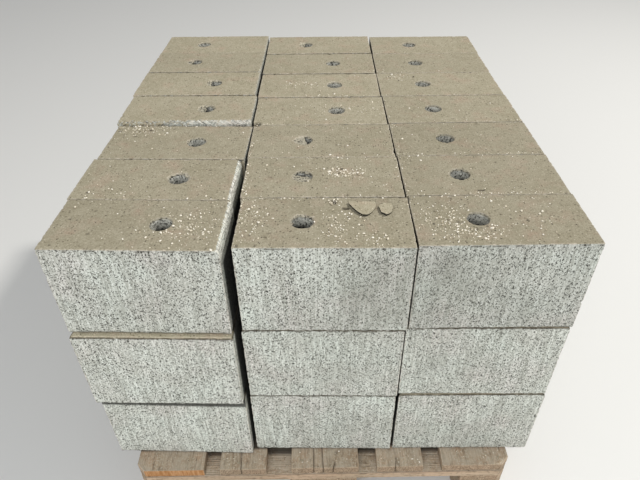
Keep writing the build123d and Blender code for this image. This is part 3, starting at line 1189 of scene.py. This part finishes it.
def pressed_concrete():
    """Dry-pressed concrete with a trowelled top. Dull everywhere, so the eye reads it by
    its pores and edges, and its top as smoother only by the finer grain."""
    material, tree, shader = new_material("pressed_concrete", roughness=0.92)
    cast = add(tree, "Attribute", attribute_name="cast").outputs["Vector"]
    top, wear, pit, bore, covered, stain_and_shadow = carried_by_mesh(
        tree, "top", "wear", "pit", "bore", "covered", "stain_and_shadow"
    )
    face, drag, pores = moulded_face(tree, cast)
    # Damp stains darken the faces in mottled patches, and so does the painted shadow under the block
    # that sticks out.
    damp_and_shadow = times(tree, stain_and_shadow, clouds(tree, cast, 26, 4.0, 0.1, 0.6, scale=(1, 1, 0.4)))
    face = layered(tree, face, [(damp_and_shadow, "#85867b", 0.72)])
    film, dots = trowelled_top(tree, cast)

    # The film ends raggedly: noise moves the place where the mask goes from 0 to 1.
    sockets = {0: clouds(tree, cast, 5, 2.0), 1: 0.5, 2: top}
    edge = add(tree, "Math", sockets, operation="MULTIPLY_ADD").outputs[0]
    sockets = {"Value": edge, "From Min": 0.65, "From Max": 0.85}
    is_top = add(tree, "MapRange", sockets).outputs["Result"]
    crumbs = clouds(tree, cast, 4.5, 3.0)
    black = clouds(tree, cast, 4.2, 2.0, 0.53, 0.62, at=(8, 8, 1))
    in_mouth = add(tree, "MapRange", {"Value": bore, "From Max": 0.2}).outputs["Result"]
    sockets = {0: is_top, MIX_A: face, MIX_B: film}
    clean = add(tree, "Mix", sockets, data_type="RGBA").outputs[MIX_OUT]
    base = layered(tree, clean, [
        (times(tree, wear, crumbs), "#d2c8b9", 0.8),
        # pits, and painted shade in the groove, at the seams, beside the large flake and on the flakes'
        # sides
        (pit, "#4b4438", 0.85),
        # inside a core, bare concrete with pale crumbs and black hollows
        (bore, "#b4b2a8", 0.75),
        (times(tree, bore, crumbs), "#dddbd0", 0.75),
        (times(tree, in_mouth, black), "#2b2a26", 0.85),
        # painted shade: deep in joints, gaps and cores, under a block that sticks out, and on the
        # flakes' sides
        (covered, "#171613", 0.92),
    ])
    tree.links.new(toned(tree, base, BLOCK_SPREAD), shader.inputs["Base Color"])

    rough_relief = [(drag, -0.25), (crumbs, 0.3)] + [(pore, -0.9) for pore in pores]
    not_top = add(tree, "Math", {0: 1.0, 1: is_top}, operation="SUBTRACT").outputs[0]
    heights = [(times(tree, not_top, mask), height) for mask, height in rough_relief]
    heights += [(pit, -0.6), (times(tree, is_top, dots), -0.8)]
    heights += [(times(tree, is_top, clouds(tree, cast, 3.5, 3.0)), 0.35)]
    relief(tree, shader, heights, MM)
    return material


CONCRETE = pressed_concrete()

# %% Make the blocks, each in its node's place
made = {}
for number, block in enumerate(blocks, start=1):
    shell = build_block(block, number)
    if block.course == "top":
        dent_tops(shell)
        node = f"top_block_{block.column}_{block.row}"
    else:
        node = f"{block.course}_course_row_{block.row}"
    made.setdefault(node, []).append(shell)
concrete_triangles = sum(
    make_piece(node + "_cast", joined(shells), CONCRETE, [node])
    for node, shells in made.items()
)
print("concrete:", len(made), "pieces,", concrete_triangles, "triangles")

# %% [markdown]
# ## Timber of the pallet
#
# The pallet is sawn softwood: five deck boards along it, three boards across under them,
# nine spacer blocks and three runners. Sawn boards have a grain that stands up a little,
# worn arrises and cracks that start at their ends. Each is the same closed box of lines
# as a block, but laid out along, across and up, whichever way the board runs. The
# pallet's plan has its corners cut, so the outer 40 mm of what lies there are squeezed to
# the cut, and the runners lose their upper edges where truck wheels roll over them.

# %% Grid lines of a board
END_ZONE, END_SPACING = 60.0, 3.0        # mm of a near board's ends, and the lines there
GRAIN_SPACING, CROSS_SPACING, HIDDEN_SPACING = 25.0, 5.5, 12.0
CHAMFER = 8.0                            # mm, off a runner's upper edges
CHAMFER_ZONE = (87.5, 440.0)             # |y| between which they are cut off
CHAMFER_END = 0.4                        # mm to each side of where that starts or ends
CRACK_LINES = (-1.5, -0.7, 0.0, 0.7, 1.5)   # mm to each side of a crack


def board_lattice(size, long_axis, cracks, is_runner, is_near):
    """Grid lines along x, y and up for a board of this size, from its lowest corner."""
    axes = []
    for axis, extent in enumerate(size):
        stops = []
        if axis == 2:
            stops = [extent - CHAMFER] if is_runner else []
        elif axis != long_axis:
            stops = [extent / 2 + across + step for across, _, _ in cracks for step in CRACK_LINES]
        elif extent > 2 * END_ZONE:
            stops = [*np.arange(END_SPACING, END_ZONE, END_SPACING)] if is_near else []
            if is_runner:
                stops += [
                    extent / 2 + side * (edge + step)
                    for edge in CHAMFER_ZONE
                    for side in (-1, 1)
                    for step in (-CHAMFER_END, CHAMFER_END)
                ]
        across_spacing = CROSS_SPACING if is_near else HIDDEN_SPACING
        axes.append(lines(0.0, extent, stops, GRAIN_SPACING if axis == long_axis else across_spacing))
    return axes


# %% Wear of a board
GRAIN_SIZE = (3.2, 140.0)                # mm: across the grain, and along it
RAISED_GRAIN, SPLINTER, SAW_MARK, CRACK = 0.5, 2.5, 0.7, 2.6   # mm deep
CRACKS = {
    # node: (across from the board's middle, drift at its end, length), front end, mm
    "deck_board_2": ((-4.0, -2.0, 70.0),),
    "deck_board_3": ((-24.0, 0.0, 150.0), (-4.0, -3.0, 85.0), (18.0, 8.0, 46.0)),
    "deck_board_4": ((-10.0, 2.0, 24.0),),
}
HALF_WIDTH = 400.0        # mm, of the pallet
CUT_SUM = 982.0           # mm: |x| + |y| of the pallet along a cut corner
CUT_FROM = 360.0          # |x| from where a board is squeezed to the cut
CHAMFER_ROOM = 0.3        # mm that a runner's slopes stay inside the CAD's


def crack_depth(points, seeded, size, cross_axis, cracks):
    """How deep in a crack each point is, 0 to 1: narrow, wandering, and shallower towards
    its end by (1 - share of its length)^0.4."""
    middle = size / 2
    depth = np.zeros(len(points))
    for index, (across, drift, length) in enumerate(cracks):
        share = np.clip(points[:, 1 - cross_axis] / length, 0, 1)
        line = middle[cross_axis] + across + drift * share + 0.5 * noise(seeded, 22.0, 251 + index)
        apart = np.abs(points[:, cross_axis] - line)
        depth = np.maximum(depth, fade(apart, 1.3, 0.2) * (share < 1) * (1 - share) ** 0.4)
    return depth * fade(middle[2] - np.abs(points[:, 2] - middle[2]), 40.0, 30.0)


def cut_corners(placed):
    """Squeezes what is near the pallet's long sides in x, to stay inside its cut corners."""
    over = np.clip(np.abs(placed[:, 0]) - CUT_FROM, 0, None)
    room = np.minimum(HALF_WIDTH, CUT_SUM - np.abs(placed[:, 1])) - CUT_FROM
    squeezed = np.sign(placed[:, 0]) * (CUT_FROM + over * room / (HALF_WIDTH - CUT_FROM))
    placed[:, 0] = np.where(over > 0, squeezed, placed[:, 0])


def chamfer_runner(placed, points, size):
    """Lowers a runner's upper edges to a slope of 45 degrees, between its spacers."""
    side = size[0] / 2 - np.abs(points[:, 0] - size[0] / 2)
    away = np.abs(points[:, 1] - size[1] / 2)
    in_zone = (away > CHAMFER_ZONE[0]) & (away < CHAMFER_ZONE[1])
    slope = size[2] - np.clip(CHAMFER - side, 0, None) - CHAMFER_ROOM
    placed[:, 2] = np.minimum(placed[:, 2], np.where(in_zone, slope, size[2]))


# %% Build a board
UNDER_LOAD = (5.0, 10.0)                 # mm in from the load's front and rear, from where its shadow is painted on the boards
LOAD_ENDS = [
    end([block.place[1] + side * block.size[1] / 2 for block in blocks if block.course == "bottom"])
    for side, end in ((-1, min), (1, max))
]
FRESH_END = "deck_board_1"               # its front end was cut later, and is still orange
JOINT_SHADE = 0.75                       # how dark it is where one board meets another
OWN_GRAIN = (3.0, 0.12, 0.09)            # m, by which the grain pattern moves at most


def build_board(node, seed):
    """A board, spacer or runner as a closed shell in the row frame."""
    low, high = (np.array(corner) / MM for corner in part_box(node))
    size = high - low
    middle = size / 2
    long_axis = 0 if node.startswith("cross") else 1
    cross_axis = 1 - long_axis
    cracks = CRACKS.get(node, ())
    is_runner = node.startswith("runner")
    is_near = node.startswith("deck") or "front" in node
    lattice = board_lattice(size, long_axis, cracks, is_runner, is_near)
    quads = np.concatenate([cells_of(face_numbers(lattice, face)) for face in FACES])
    used = np.unique(quads)
    points = lattice_points(lattice, used)

    seeded = points + OWN_PLACE * seed
    grain_size = np.full(3, GRAIN_SIZE[0])
    grain_size[long_axis] = GRAIN_SIZE[1]
    to_edge = np.maximum(np.sort(middle - np.abs(points - middle), axis=1)[:, 1], 0)
    along = points[:, long_axis]
    at_end = np.minimum(along, size[long_axis] - along) < ON_FACE
    radius = 1.2 + 1.6 * fade(rough(seeded, grain_size * 5, 211), -0.2, 0.8)
    step, nearest = inward(points, middle, middle, radius)
    moved = nearest - step * radius[:, None]

    grain = RAISED_GRAIN * fade(noise(seeded, grain_size, 221), -0.2, 0.9) * ~at_end
    splinter = SPLINTER * fade(rough(seeded, grain_size * 2, 231), 0.42, 0.8) * fade(to_edge, 6.0, 1.0)
    saw = SAW_MARK * fade(rough(seeded, 4.0, 241), 0.0, 0.9) * at_end
    crack = crack_depth(points, seeded, size, cross_axis, cracks)
    placed = moved + step * (grain + splinter + saw + CRACK * crack)[:, None] + low
    cut_corners(placed)
    if is_runner:
        chamfer_runner(placed, points, size)

    own = np.random.default_rng(seed).uniform(-1, 1, 4)
    under_load = np.minimum(placed[:, 1] - LOAD_ENDS[0], LOAD_ENDS[1] - placed[:, 1])
    is_board = float("board" in node)
    on_top = points[:, 2] > size[2] - ON_FACE
    below = fade(size[2] - points[:, 2], 4.5, 1.5) * node.startswith("cross")
    above = fade(points[:, 2], 4.0, 1.0) * at_end * node.startswith("deck")
    shade = fade(under_load, *UNDER_LOAD) * (points[:, 2] > 3) * is_board
    local = (points - middle) * MM
    coordinates = np.stack([local[:, long_axis], local[:, cross_axis], local[:, 2]], -1)
    return Shell(placed, np.searchsorted(used, quads), [], {
        "timber": coordinates + own[:3] * OWN_GRAIN,
        "end": at_end.astype(float),
        "wear": fade(to_edge, 3.5, 0.5) + splinter / SPLINTER,
        "crack": crack,
        "dust": on_top * is_board,
        # painted shadow under the load, and painted shade where one board meets another
        "dark": np.maximum(shade, JOINT_SHADE * (below + above) * ~on_top),
        "fresh": at_end * (points[:, 1] < 1) * float(node == FRESH_END),
        "tone": np.full(len(points), own[3]),
    })


# %% Timber material
BOARD_SPREAD = 0.06


def sawn_softwood():
    """Weathered softwood with a rough sawn surface: dull and grey-brown, with pale dust in
    its grain. The eye knows it by the long streaks and the rings at its ends. Real streaks
    are about 1 mm wide, and are drawn 2.4 mm wide, so that they show."""
    material, tree, shader = new_material("sawn_softwood", roughness=0.82, specular=0.25)
    timber = add(tree, "Attribute", attribute_name="timber").outputs["Vector"]
    end, wear, crack, dust, dark, fresh = carried_by_mesh(
        tree, "end", "wear", "crack", "dust", "dark", "fresh"
    )
    slow = shifted(tree, timber, scale=(0.06, 1, 1))
    rings = add(tree, "TexWave", {
        "Vector": slow, "Scale": per_mm(16), "Distortion": 3.0, "Detail": 2.0, "Detail Scale": 2.0,
    }, wave_type="RINGS", rings_direction="X").outputs["Fac"]
    streaks = clouds(tree, timber, 2.4, 3.0, scale=(0.03, 1, 1))
    base = layered(tree, colour("#d2c0a8"), [
        # grey weathering, year rings and the fine grain
        (clouds(tree, slow, 45, 2.0), "#a5937b", 0.7),
        (rings, "#a08b72", 0.5),
        (streaks, "#877660", 0.6),
        # warm and brown patches, pale dust spots, and dark streaks
        (clouds(tree, timber, 30, at=(1, 1, 1), scale=(0.2, 1, 1)), "#b99a80", 0.5),
        (clouds(tree, timber, 9, 3.0, 0.5, 0.72, at=(2, 1, 1)), "#7c6c58", 0.65),
        (times(tree, dust, clouds(tree, timber, 4, 3.0, 0.52, 0.64, at=(5, 1, 1))), "#cdc3af", 0.6),
        (clouds(tree, timber, 3.2, 3.0, 0.56, 0.66, at=(3, 1, 1), scale=(0.12, 1, 1)), "#62533f", 0.6),
        # concrete dust on the upper faces, in patches and grains
        (times(tree, dust, clouds(tree, timber, 26, 4.0, 0.38, 0.62)), "#bdb19e", 0.65),
        (times(tree, dust, speckle(tree, timber, 5.5, 0.25, 0.25)), "#d3cbba", 0.8),
        # sawn ends, rubbed arrises and pinholes
        (end, "#97826a", 0.35),
        (times(tree, end, streaks), "#6a5742", 0.75),
        (times(tree, wear, clouds(tree, timber, 8, 2.0)), "#b9a88f", 0.5),
        (speckle(tree, timber, 16, 0.2, 0.12, at=(1, 3, 5)), "#5b4c3b", 0.6),
        # the end that was cut later, with its darker late wood
        (fresh, "#bf8f62", 0.85),
        (times(tree, fresh, clouds(tree, timber, 4.0, 1.0, scale=(1, 1, 0.15))), "#94622f", 0.75),
        (crack, "#3a2f24", 0.85),
        # painted shadow under the load, and painted shade where one board meets another
        (dark, "#17130e", 0.8),
    ])
    tree.links.new(toned(tree, base, BOARD_SPREAD), shader.inputs["Base Color"])
    relief(tree, shader, [(streaks, -0.45), (rings, 0.2)], MM)
    return material


SOFTWOOD = sawn_softwood()

# %% Make the pallet
timber_nodes = sorted(
    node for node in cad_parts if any(kind in node for kind in ("board", "spacer", "runner"))
)
timber_triangles = 0
for seed, node in enumerate(timber_nodes, start=201):
    timber_triangles += make_piece(node + "_sawn", build_board(node, seed), SOFTWOOD, [node])
print("timber:", len(timber_nodes), "pieces,", timber_triangles, "triangles")

# %% [markdown]
# ## Nails
#
# Every crossing is nailed: nine nails in a wide deck board, six in a narrow one, and nine
# through each runner from below. Only the 66 heads show, low domes of dull zinc, hammered
# flush with the timber. Each could be an object, but they never move, so all are one
# piece, and at a few pixels a head is round enough as four rings of ten points.

# %% Nail heads
HEAD_RADIUS = 3.6
HEAD_RINGS = ((1.0, -1.2), (1.0, -0.3), (0.82, 0.0), (0.35, 0.12))   # share of radius, mm up
HEAD_SIDES = 10
HEAD_SUNK = 0.15          # mm of the dome's top below the timber's surface
CROSSINGS = 527.5         # mm of the outer cross boards' middles from the pallet's
WIDE_FROM = 120           # mm: a deck board wider than this gets three nails at a crossing
WIDE_PATTERN = ((-0.34, 52), (0.34, 52), (0.0, -45))    # share of the width, mm outwards
NARROW_PATTERN = ((-0.12, 60), (0.2, -42))
ASTRAY = 4                # mm, how far a nail may be off its pattern


def nail_places():
    """The middle of each head, and whether it looks up or down."""
    random = np.random.default_rng(7)
    found = []
    for node in timber_nodes:
        low, high = (np.array(corner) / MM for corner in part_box(node))
        if not node.startswith(("deck", "runner")):
            continue
        is_deck = node.startswith("deck")
        middle, width = (low[0] + high[0]) / 2, high[0] - low[0]
        pattern = WIDE_PATTERN if width > WIDE_FROM or not is_deck else NARROW_PATTERN
        for row in (-1, 0, 1):
            for across, along in pattern:
                x = middle + across * width + random.uniform(-ASTRAY, ASTRAY)
                y = row * CROSSINGS + (row or 1) * along + random.uniform(-ASTRAY, ASTRAY)
                found.append((x, y, high[2] - HEAD_SUNK if is_deck else low[2] + HEAD_SUNK, is_deck))
    return found


def nail_heads():
    """All the heads as one shell."""
    angle = np.arange(HEAD_SIDES) / HEAD_SIDES * 2 * np.pi
    shells = []
    for x, y, z, looks_up in nail_places():
        sign = 1 if looks_up else -1
        top = HEAD_RINGS[-1][1]
        points = np.concatenate([
            np.column_stack([
                x + share * HEAD_RADIUS * np.cos(angle),
                y + sign * share * HEAD_RADIUS * np.sin(angle),
                np.full(HEAD_SIDES, z + sign * (up - top)),
            ])
            for share, up in HEAD_RINGS
        ])
        numbers = np.arange(len(points)).reshape(-1, HEAD_SIDES)
        ends = [numbers[-1], numbers[0][::-1]]
        shells.append(Shell(points, between(numbers), ends, {"tone": np.zeros(len(points))}))
    return joined(shells)


# A zinc coat that has gone dull is a metal still, and gives the eye a soft, pale glint.
ZINC, tree, shader = new_material("dull_zinc_coat", roughness=0.42, specular=0.5)
shader.inputs["Base Color"].default_value = colour("#b9ad98")
shader.inputs["Metallic"].default_value = 0.8
print("nails:", make_piece("nail_heads", nail_heads(), ZINC), "triangles")

# %% [markdown]
# ## Grit and flakes
#
# Punching the skins out of the cores leaves crumbs all over the top, thickest where blocks
# rub and around the mouths, and two flakes of skin that lie where they fell. Crumbs are
# angular, so each is an icosahedron with its corners pushed in and out: twenty faces are
# enough at one or two pixels. The clusters stand where the photograph has them, and the
# grains in them are scattered by a seeded normal spread.

# %% Where the grains lie
GRAIN_CLUSTERS = (
    # x, y, spread along x, spread along y (mm), count
    (-116, -481, 18, 38, 154), (26, -505, 16, 26, 126), (86, -540, 12, 10, 49), (24, -432, 7, 5, 31),
    (40, -333, 15, 9, 105), (75, -340, 9, 12, 49), (208, -490, 22, 25, 238), (250, -520, 26, 18, 154),
    (-225, -510, 34, 30, 238), (-190, -470, 20, 26, 84), (198, 120, 14, 14, 70), (150, 150, 20, 12, 42),
    (60, -60, 40, 12, 84), (-30, 85, 30, 10, 63), (-135, -350, 4, 110, 126), (-138, -480, 4, 60, 98),
    (156, -300, 6, 150, 98), (330, -500, 50, 30, 84), (300, -420, 60, 16, 63), (-360, -400, 40, 20, 56),
    (0, -419, 130, 3, 84), (300, -415, 130, 3, 84), (0, -276, 130, 4, 70), (300, -272, 130, 4, 70),
    (300, -130, 130, 4, 70), (0, 10, 130, 4, 98), (-300, -133, 110, 5, 182), (-390, -155, 28, 16, 154),
    (0, -200, 150, 150, 168),
)
CHUNKS = (
    # the same for larger crumbs
    (34, -334, 13, 9, 20), (62, -342, 14, 8, 10), (60, -478, 26, 22, 12), (85, -538, 12, 9, 6),
    (208, -488, 20, 22, 12), (255, -515, 22, 16, 8), (155, -330, 4, 6, 4), (24, -434, 6, 5, 5),
)
SPRINKLED = 260                          # more grains, evenly over the top
SPRINKLED_FROM, SPRINKLED_TO = (-440, -550), (440, 430)   # x and y, mm
ON_EACH_BOARD = 9                        # grains on the front end of a deck board
BOARD_MARGIN, BOARD_REACH = 8, 44        # mm from a board's sides, and from its end
GRAIN_WIDTHS = (2.1, 0.45)               # mm: median, and spread of its logarithm
LARGEST_GRAIN = 5.2
CHUNK_WIDTHS = (3.0, LARGEST_GRAIN)
GRAIN_MARGIN, CHUNK_MARGIN = 1.8, 3.0    # mm that they stay off a block's edges and its core
TOP_OF_LOAD = 714.0
SUNK = {"grain": 0.15, "chunk": 0.2, "on board": 0.4, "debris": 0.6}   # mm into what they lie on
DECK_GAPS = (
    # x from, x to, y from, y to, z, count: brown debris on the boards under the deck
    (-119, -71, -598, -556, 122.0, 30), (80, 112, -598, -556, 122.0, 24),
    (-250, -224, -598, -556, 122.0, 10), (224, 252, -598, -556, 122.0, 10),
)
DEBRIS_WIDTHS = (1.2, 3.4)


def lies_on_top(places, margin):
    """Which places lie on a block's level top, clear of its edges and its core."""
    found = np.zeros(len(places), bool)
    for block in blocks:
        if block.course != "top" or block.size[2] > LEVEL_HEIGHT + 1:
            continue
        offset = places[:, :2] - block.place[:2]
        cosine, sine = np.cos(block.turn), np.sin(block.turn)
        local = np.column_stack([
            offset[:, 0] * cosine + offset[:, 1] * sine, offset[:, 1] * cosine - offset[:, 0] * sine
        ])
        within = (np.abs(local) < block.size[:2] / 2 - margin).all(1)
        clear = np.linalg.norm(local - block.core, axis=1) > block.core_radius + margin
        found |= within & clear
    return found


def clustered(random, table):
    """Places in clusters, each a normal spread around its middle."""
    return [
        random.normal((x, y), (spread_x, spread_y), (count, 2))
        for x, y, spread_x, spread_y, count in table
    ]


def at_height(spots, z):
    """Places in the plane, at one height."""
    return np.column_stack([spots, np.full(len(spots), z)])


random = np.random.default_rng(11)
spots = clustered(random, GRAIN_CLUSTERS)
spots = np.concatenate([*spots, random.uniform(SPRINKLED_FROM, SPRINKLED_TO, (SPRINKLED, 2))])
places = [at_height(spots[lies_on_top(spots, GRAIN_MARGIN)], TOP_OF_LOAD - SUNK["grain"])]
for node in ("deck_board_2", "deck_board_3", "deck_board_4", "deck_board_5"):
    low, high = (np.array(corner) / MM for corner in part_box(node))
    near = (low[0] + BOARD_MARGIN, low[1] + BOARD_MARGIN)
    far = (high[0] - BOARD_MARGIN, low[1] + BOARD_REACH)
    on_board = random.uniform(near, far, (ON_EACH_BOARD, 2))
    places.append(at_height(on_board, high[2] - SUNK["on board"]))
places = np.concatenate(places)
widths = GRAIN_WIDTHS[0] * np.exp(GRAIN_WIDTHS[1] * random.standard_normal(len(places)))
chunks = np.concatenate(clustered(random, CHUNKS))
chunks = chunks[lies_on_top(chunks, CHUNK_MARGIN)]
places = np.concatenate([places, at_height(chunks, TOP_OF_LOAD - SUNK["chunk"])])
widths = np.append(widths, random.uniform(*CHUNK_WIDTHS, len(chunks)))
debris = np.concatenate([
    at_height(random.uniform((x0, y0), (x1, y1), (count, 2)), z - SUNK["debris"])
    for x0, x1, y0, y1, z, count in DECK_GAPS
])
print("grains:", len(places), "and", len(debris), "of debris")

# %% Grains
GOLDEN = (1 + 5**0.5) / 2
HALF_SIZES = ((0.9, 0.6, 0.4), (1.3, 1.0, 0.8))   # least and most, as shares of half the width
CORNERS_OUT = (0.75, 1.15)               # how far a corner is pushed in or out
RESTS_AT = 0.75                          # a grain's middle above its place, in its half heights
GRIT_COLOURS = (("#6a6456", 0.0), ("#aca089", 0.15), ("#e2d8c3", 0.4), ("#f5efe2", 1.0))
DEBRIS_SPREAD = 0.35


def icosahedron():
    """Corners and triangles of an icosahedron of radius 1.

    Its corners are (0, 1, golden ratio) with all signs, and its turns over the three
    axes. Three corners that are each 2 apart make a triangle.
    """
    corners = []
    for a in (-1.0, 1.0):
        for b in (-GOLDEN, GOLDEN):
            corners += [(0, a, b), (a, b, 0), (b, 0, a)]
    corners = np.array(corners)
    near = np.abs(np.linalg.norm(corners[:, None] - corners, axis=-1) - 2) < 0.01
    triangles = []
    for i, j, k in np.ndindex(12, 12, 12):
        if i < j < k and near[i, j] and near[j, k] and near[i, k]:
            outwards = np.dot(np.cross(corners[j] - corners[i], corners[k] - corners[i]), corners[i])
            triangles.append((i, j, k) if outwards > 0 else (i, k, j))
    return corners / np.linalg.norm(corners[0]), np.array(triangles)


def grains(places, widths, seed):
    """Angular grains that rest on their places, as one shell."""
    random = np.random.default_rng(seed)
    corners, triangles = icosahedron()
    count = len(places)
    half = widths[:, None] / 2 * random.uniform(*HALF_SIZES, (count, 3))
    shape = corners * random.uniform(*CORNERS_OUT, (count, 12, 1)) * half[:, None]
    turn = random.uniform(0, 2 * np.pi, (count, 1))
    points = np.stack([
        shape[..., 0] * np.cos(turn) - shape[..., 1] * np.sin(turn),
        shape[..., 0] * np.sin(turn) + shape[..., 1] * np.cos(turn),
        shape[..., 2] + RESTS_AT * half[:, 2:],
    ], -1) + places[:, None]
    numbers = 12 * np.arange(count)[:, None, None] + triangles
    tone = np.repeat(random.uniform(-1, 1, count), 12)
    return Shell(points.reshape(-1, 3), numbers.reshape(-1, 3), [], {"tone": tone})


# Crushed concrete is dull and mostly pale where it broke, so the eye sees light specks.
GRIT, tree, shader = new_material("crushed_concrete", roughness=0.9)
sockets = {"Value": carried_by_mesh(tree, "tone")[0], "From Min": -1.0, "From Max": 1.0}
ramp = add(tree, "ValToRGB", {"Fac": add(tree, "MapRange", sockets).outputs["Result"]})
elements = ramp.color_ramp.elements
for code, stop in GRIT_COLOURS:
    at_end = {0.0: elements[0], 1.0: elements[-1]}
    element = at_end[stop] if stop in at_end else elements.new(stop)
    element.color = colour(code)
tree.links.new(ramp.outputs["Color"], shader.inputs["Base Color"])
grit = grains(places, np.minimum(widths, LARGEST_GRAIN), 13)
print("grit:", make_piece("grit", grit, GRIT), "triangles")

# Crumbs of timber and dirt are dull and brown, so they show as specks between boards.
DEBRIS, tree, shader = new_material("timber_debris", roughness=0.9)
base = add(tree, "RGB").outputs[0]
base.default_value = colour("#97866e")
tree.links.new(toned(tree, base, DEBRIS_SPREAD), shader.inputs["Base Color"])
crumbs = grains(debris, random.uniform(*DEBRIS_WIDTHS, len(debris)), 17)
print("debris:", make_piece("timber_debris", crumbs, DEBRIS), "triangles")

# %% Flakes of skin
FLAKE_BASE = 3.3          # mm from the block's top to the flake's upper face, at its low end
FLAKE_TILT = ((-0.8, -0.6), 0.07)        # the way it rises, and mm up for each mm along
FLAKE_TONE = 2.6
FLAKE_POINTS = 72         # around it
RAGGED_OUTLINE, RAGGED_SIDE = 1.2, 0.9   # mm
FLAKE_SHARES = (0.25, 0.5, 0.7, 0.86, 0.96, 1.0)      # rings of the upper face, from its middle
FLAKE_SIDE = ((1.02, 0.5), (1.01, 1.0), (0.98, 1.8), (0.96, 2.6), (0.93, 3.2))   # share, mm down
FLAKES = {
    # name: middle, corners of its outline around it (mm)
    "flake_large": ((74.0, -455.0), (
        (22, 18), (-25, 19), (-22, 7), (-12, -10), (-3, -22), (7, -21), (16, -10), (22, 3),
    )),
    "flake_small": ((112.5, -458.0), (
        (11, 14), (-3, 17), (-13, 6), (-9, -12), (-1, -20), (8, -12), (12, 2),
    )),
}


def outline_reach(corners, direction):
    """How far an outline of straight edges is from its middle, in each direction.

    An edge from p to q is met at (p x q) / (direction x (q - p)), if that is between them.
    """
    reach = np.full(len(direction), np.inf)
    for p, q in zip(np.array(corners, float), np.roll(corners, -1, axis=0)):
        edge = q - p
        across = direction[:, 0] * edge[1] - direction[:, 1] * edge[0]
        with np.errstate(divide="ignore", invalid="ignore"):
            away = (p[0] * q[1] - p[1] * q[0]) / across
            share = ((direction * away[:, None] - p) @ edge) / (edge @ edge)
        met = (away > 0) & (share > -1e-6) & (share < 1 + 1e-6)
        reach = np.where(met, np.minimum(reach, away), reach)
    return reach


def build_flake(middle, corners, seed):
    """A broken piece of skin: a fan of rings over its upper face and down its side. The
    face is the film of a top, and the side is painted dark, as dark as the inside of a
    joint: painted shade for the shadow under its lifted edge."""
    angle = np.linspace(0, 2 * np.pi, FLAKE_POINTS, endpoint=False)
    direction = np.column_stack([np.cos(angle), np.sin(angle)])
    own = OWN_PLACE * seed
    reach = outline_reach(corners, direction)
    seeded = np.column_stack([direction * 20, 0 * angle]) + own
    reach = reach + RAGGED_OUTLINE * rough(seeded, 5, 301)
    # The upper face is nearly level: it waves by 0.2 mm, and its last two rings drop by 0.1.
    rings = [(share, 0.1 * (share > 0.95)) for share in FLAKE_SHARES] + list(FLAKE_SIDE)
    points = []
    for share, down in rings:
        ring = np.column_stack([direction * (reach * share)[:, None], np.full(len(angle), -down)])
        jitter = rough(ring + own, 4, 311)
        ring[:, :2] += direction * (jitter * RAGGED_SIDE * (0.5 < down < 3.1))[:, None]
        ring[:, 2] -= 0.1 * (1 + jitter) * (down < 0.5)
        points.append(ring)
    flat = np.concatenate(points)
    numbers = np.arange(len(flat)).reshape(len(rings), FLAKE_POINTS)
    depth = -flat[:, 2]
    zeros = np.zeros(len(flat))
    # Its side is darkened by pit and covered: painted shadow under its lifted edge.
    carried = {
        "cast": flat * MM + seed, "top": fade(depth, 1.0, 0.5), "wear": zeros,
        "pit": fade(depth, 0.4, 0.9), "bore": zeros, "covered": fade(depth, 0.3, 0.55),
        "stain_and_shadow": zeros, "tone": zeros + FLAKE_TONE,
    }
    way, slope = FLAKE_TILT
    rise = np.clip(flat[:, :2] @ way + 10.0, 0, None) * slope * (1 - depth / FLAKE_BASE)
    lifted = flat + (*middle, TOP_OF_LOAD + FLAKE_BASE) + np.outer(rise, (0, 0, 1))
    return Shell(lifted, between(numbers[::-1]), [numbers[0], numbers[-1][::-1]], carried)


flakes = joined([
    build_flake(middle, corners, seed)
    for seed, (middle, corners) in enumerate(FLAKES.values(), start=400)
])
print("flakes:", make_piece("core_flakes", flakes, CONCRETE), "triangles")
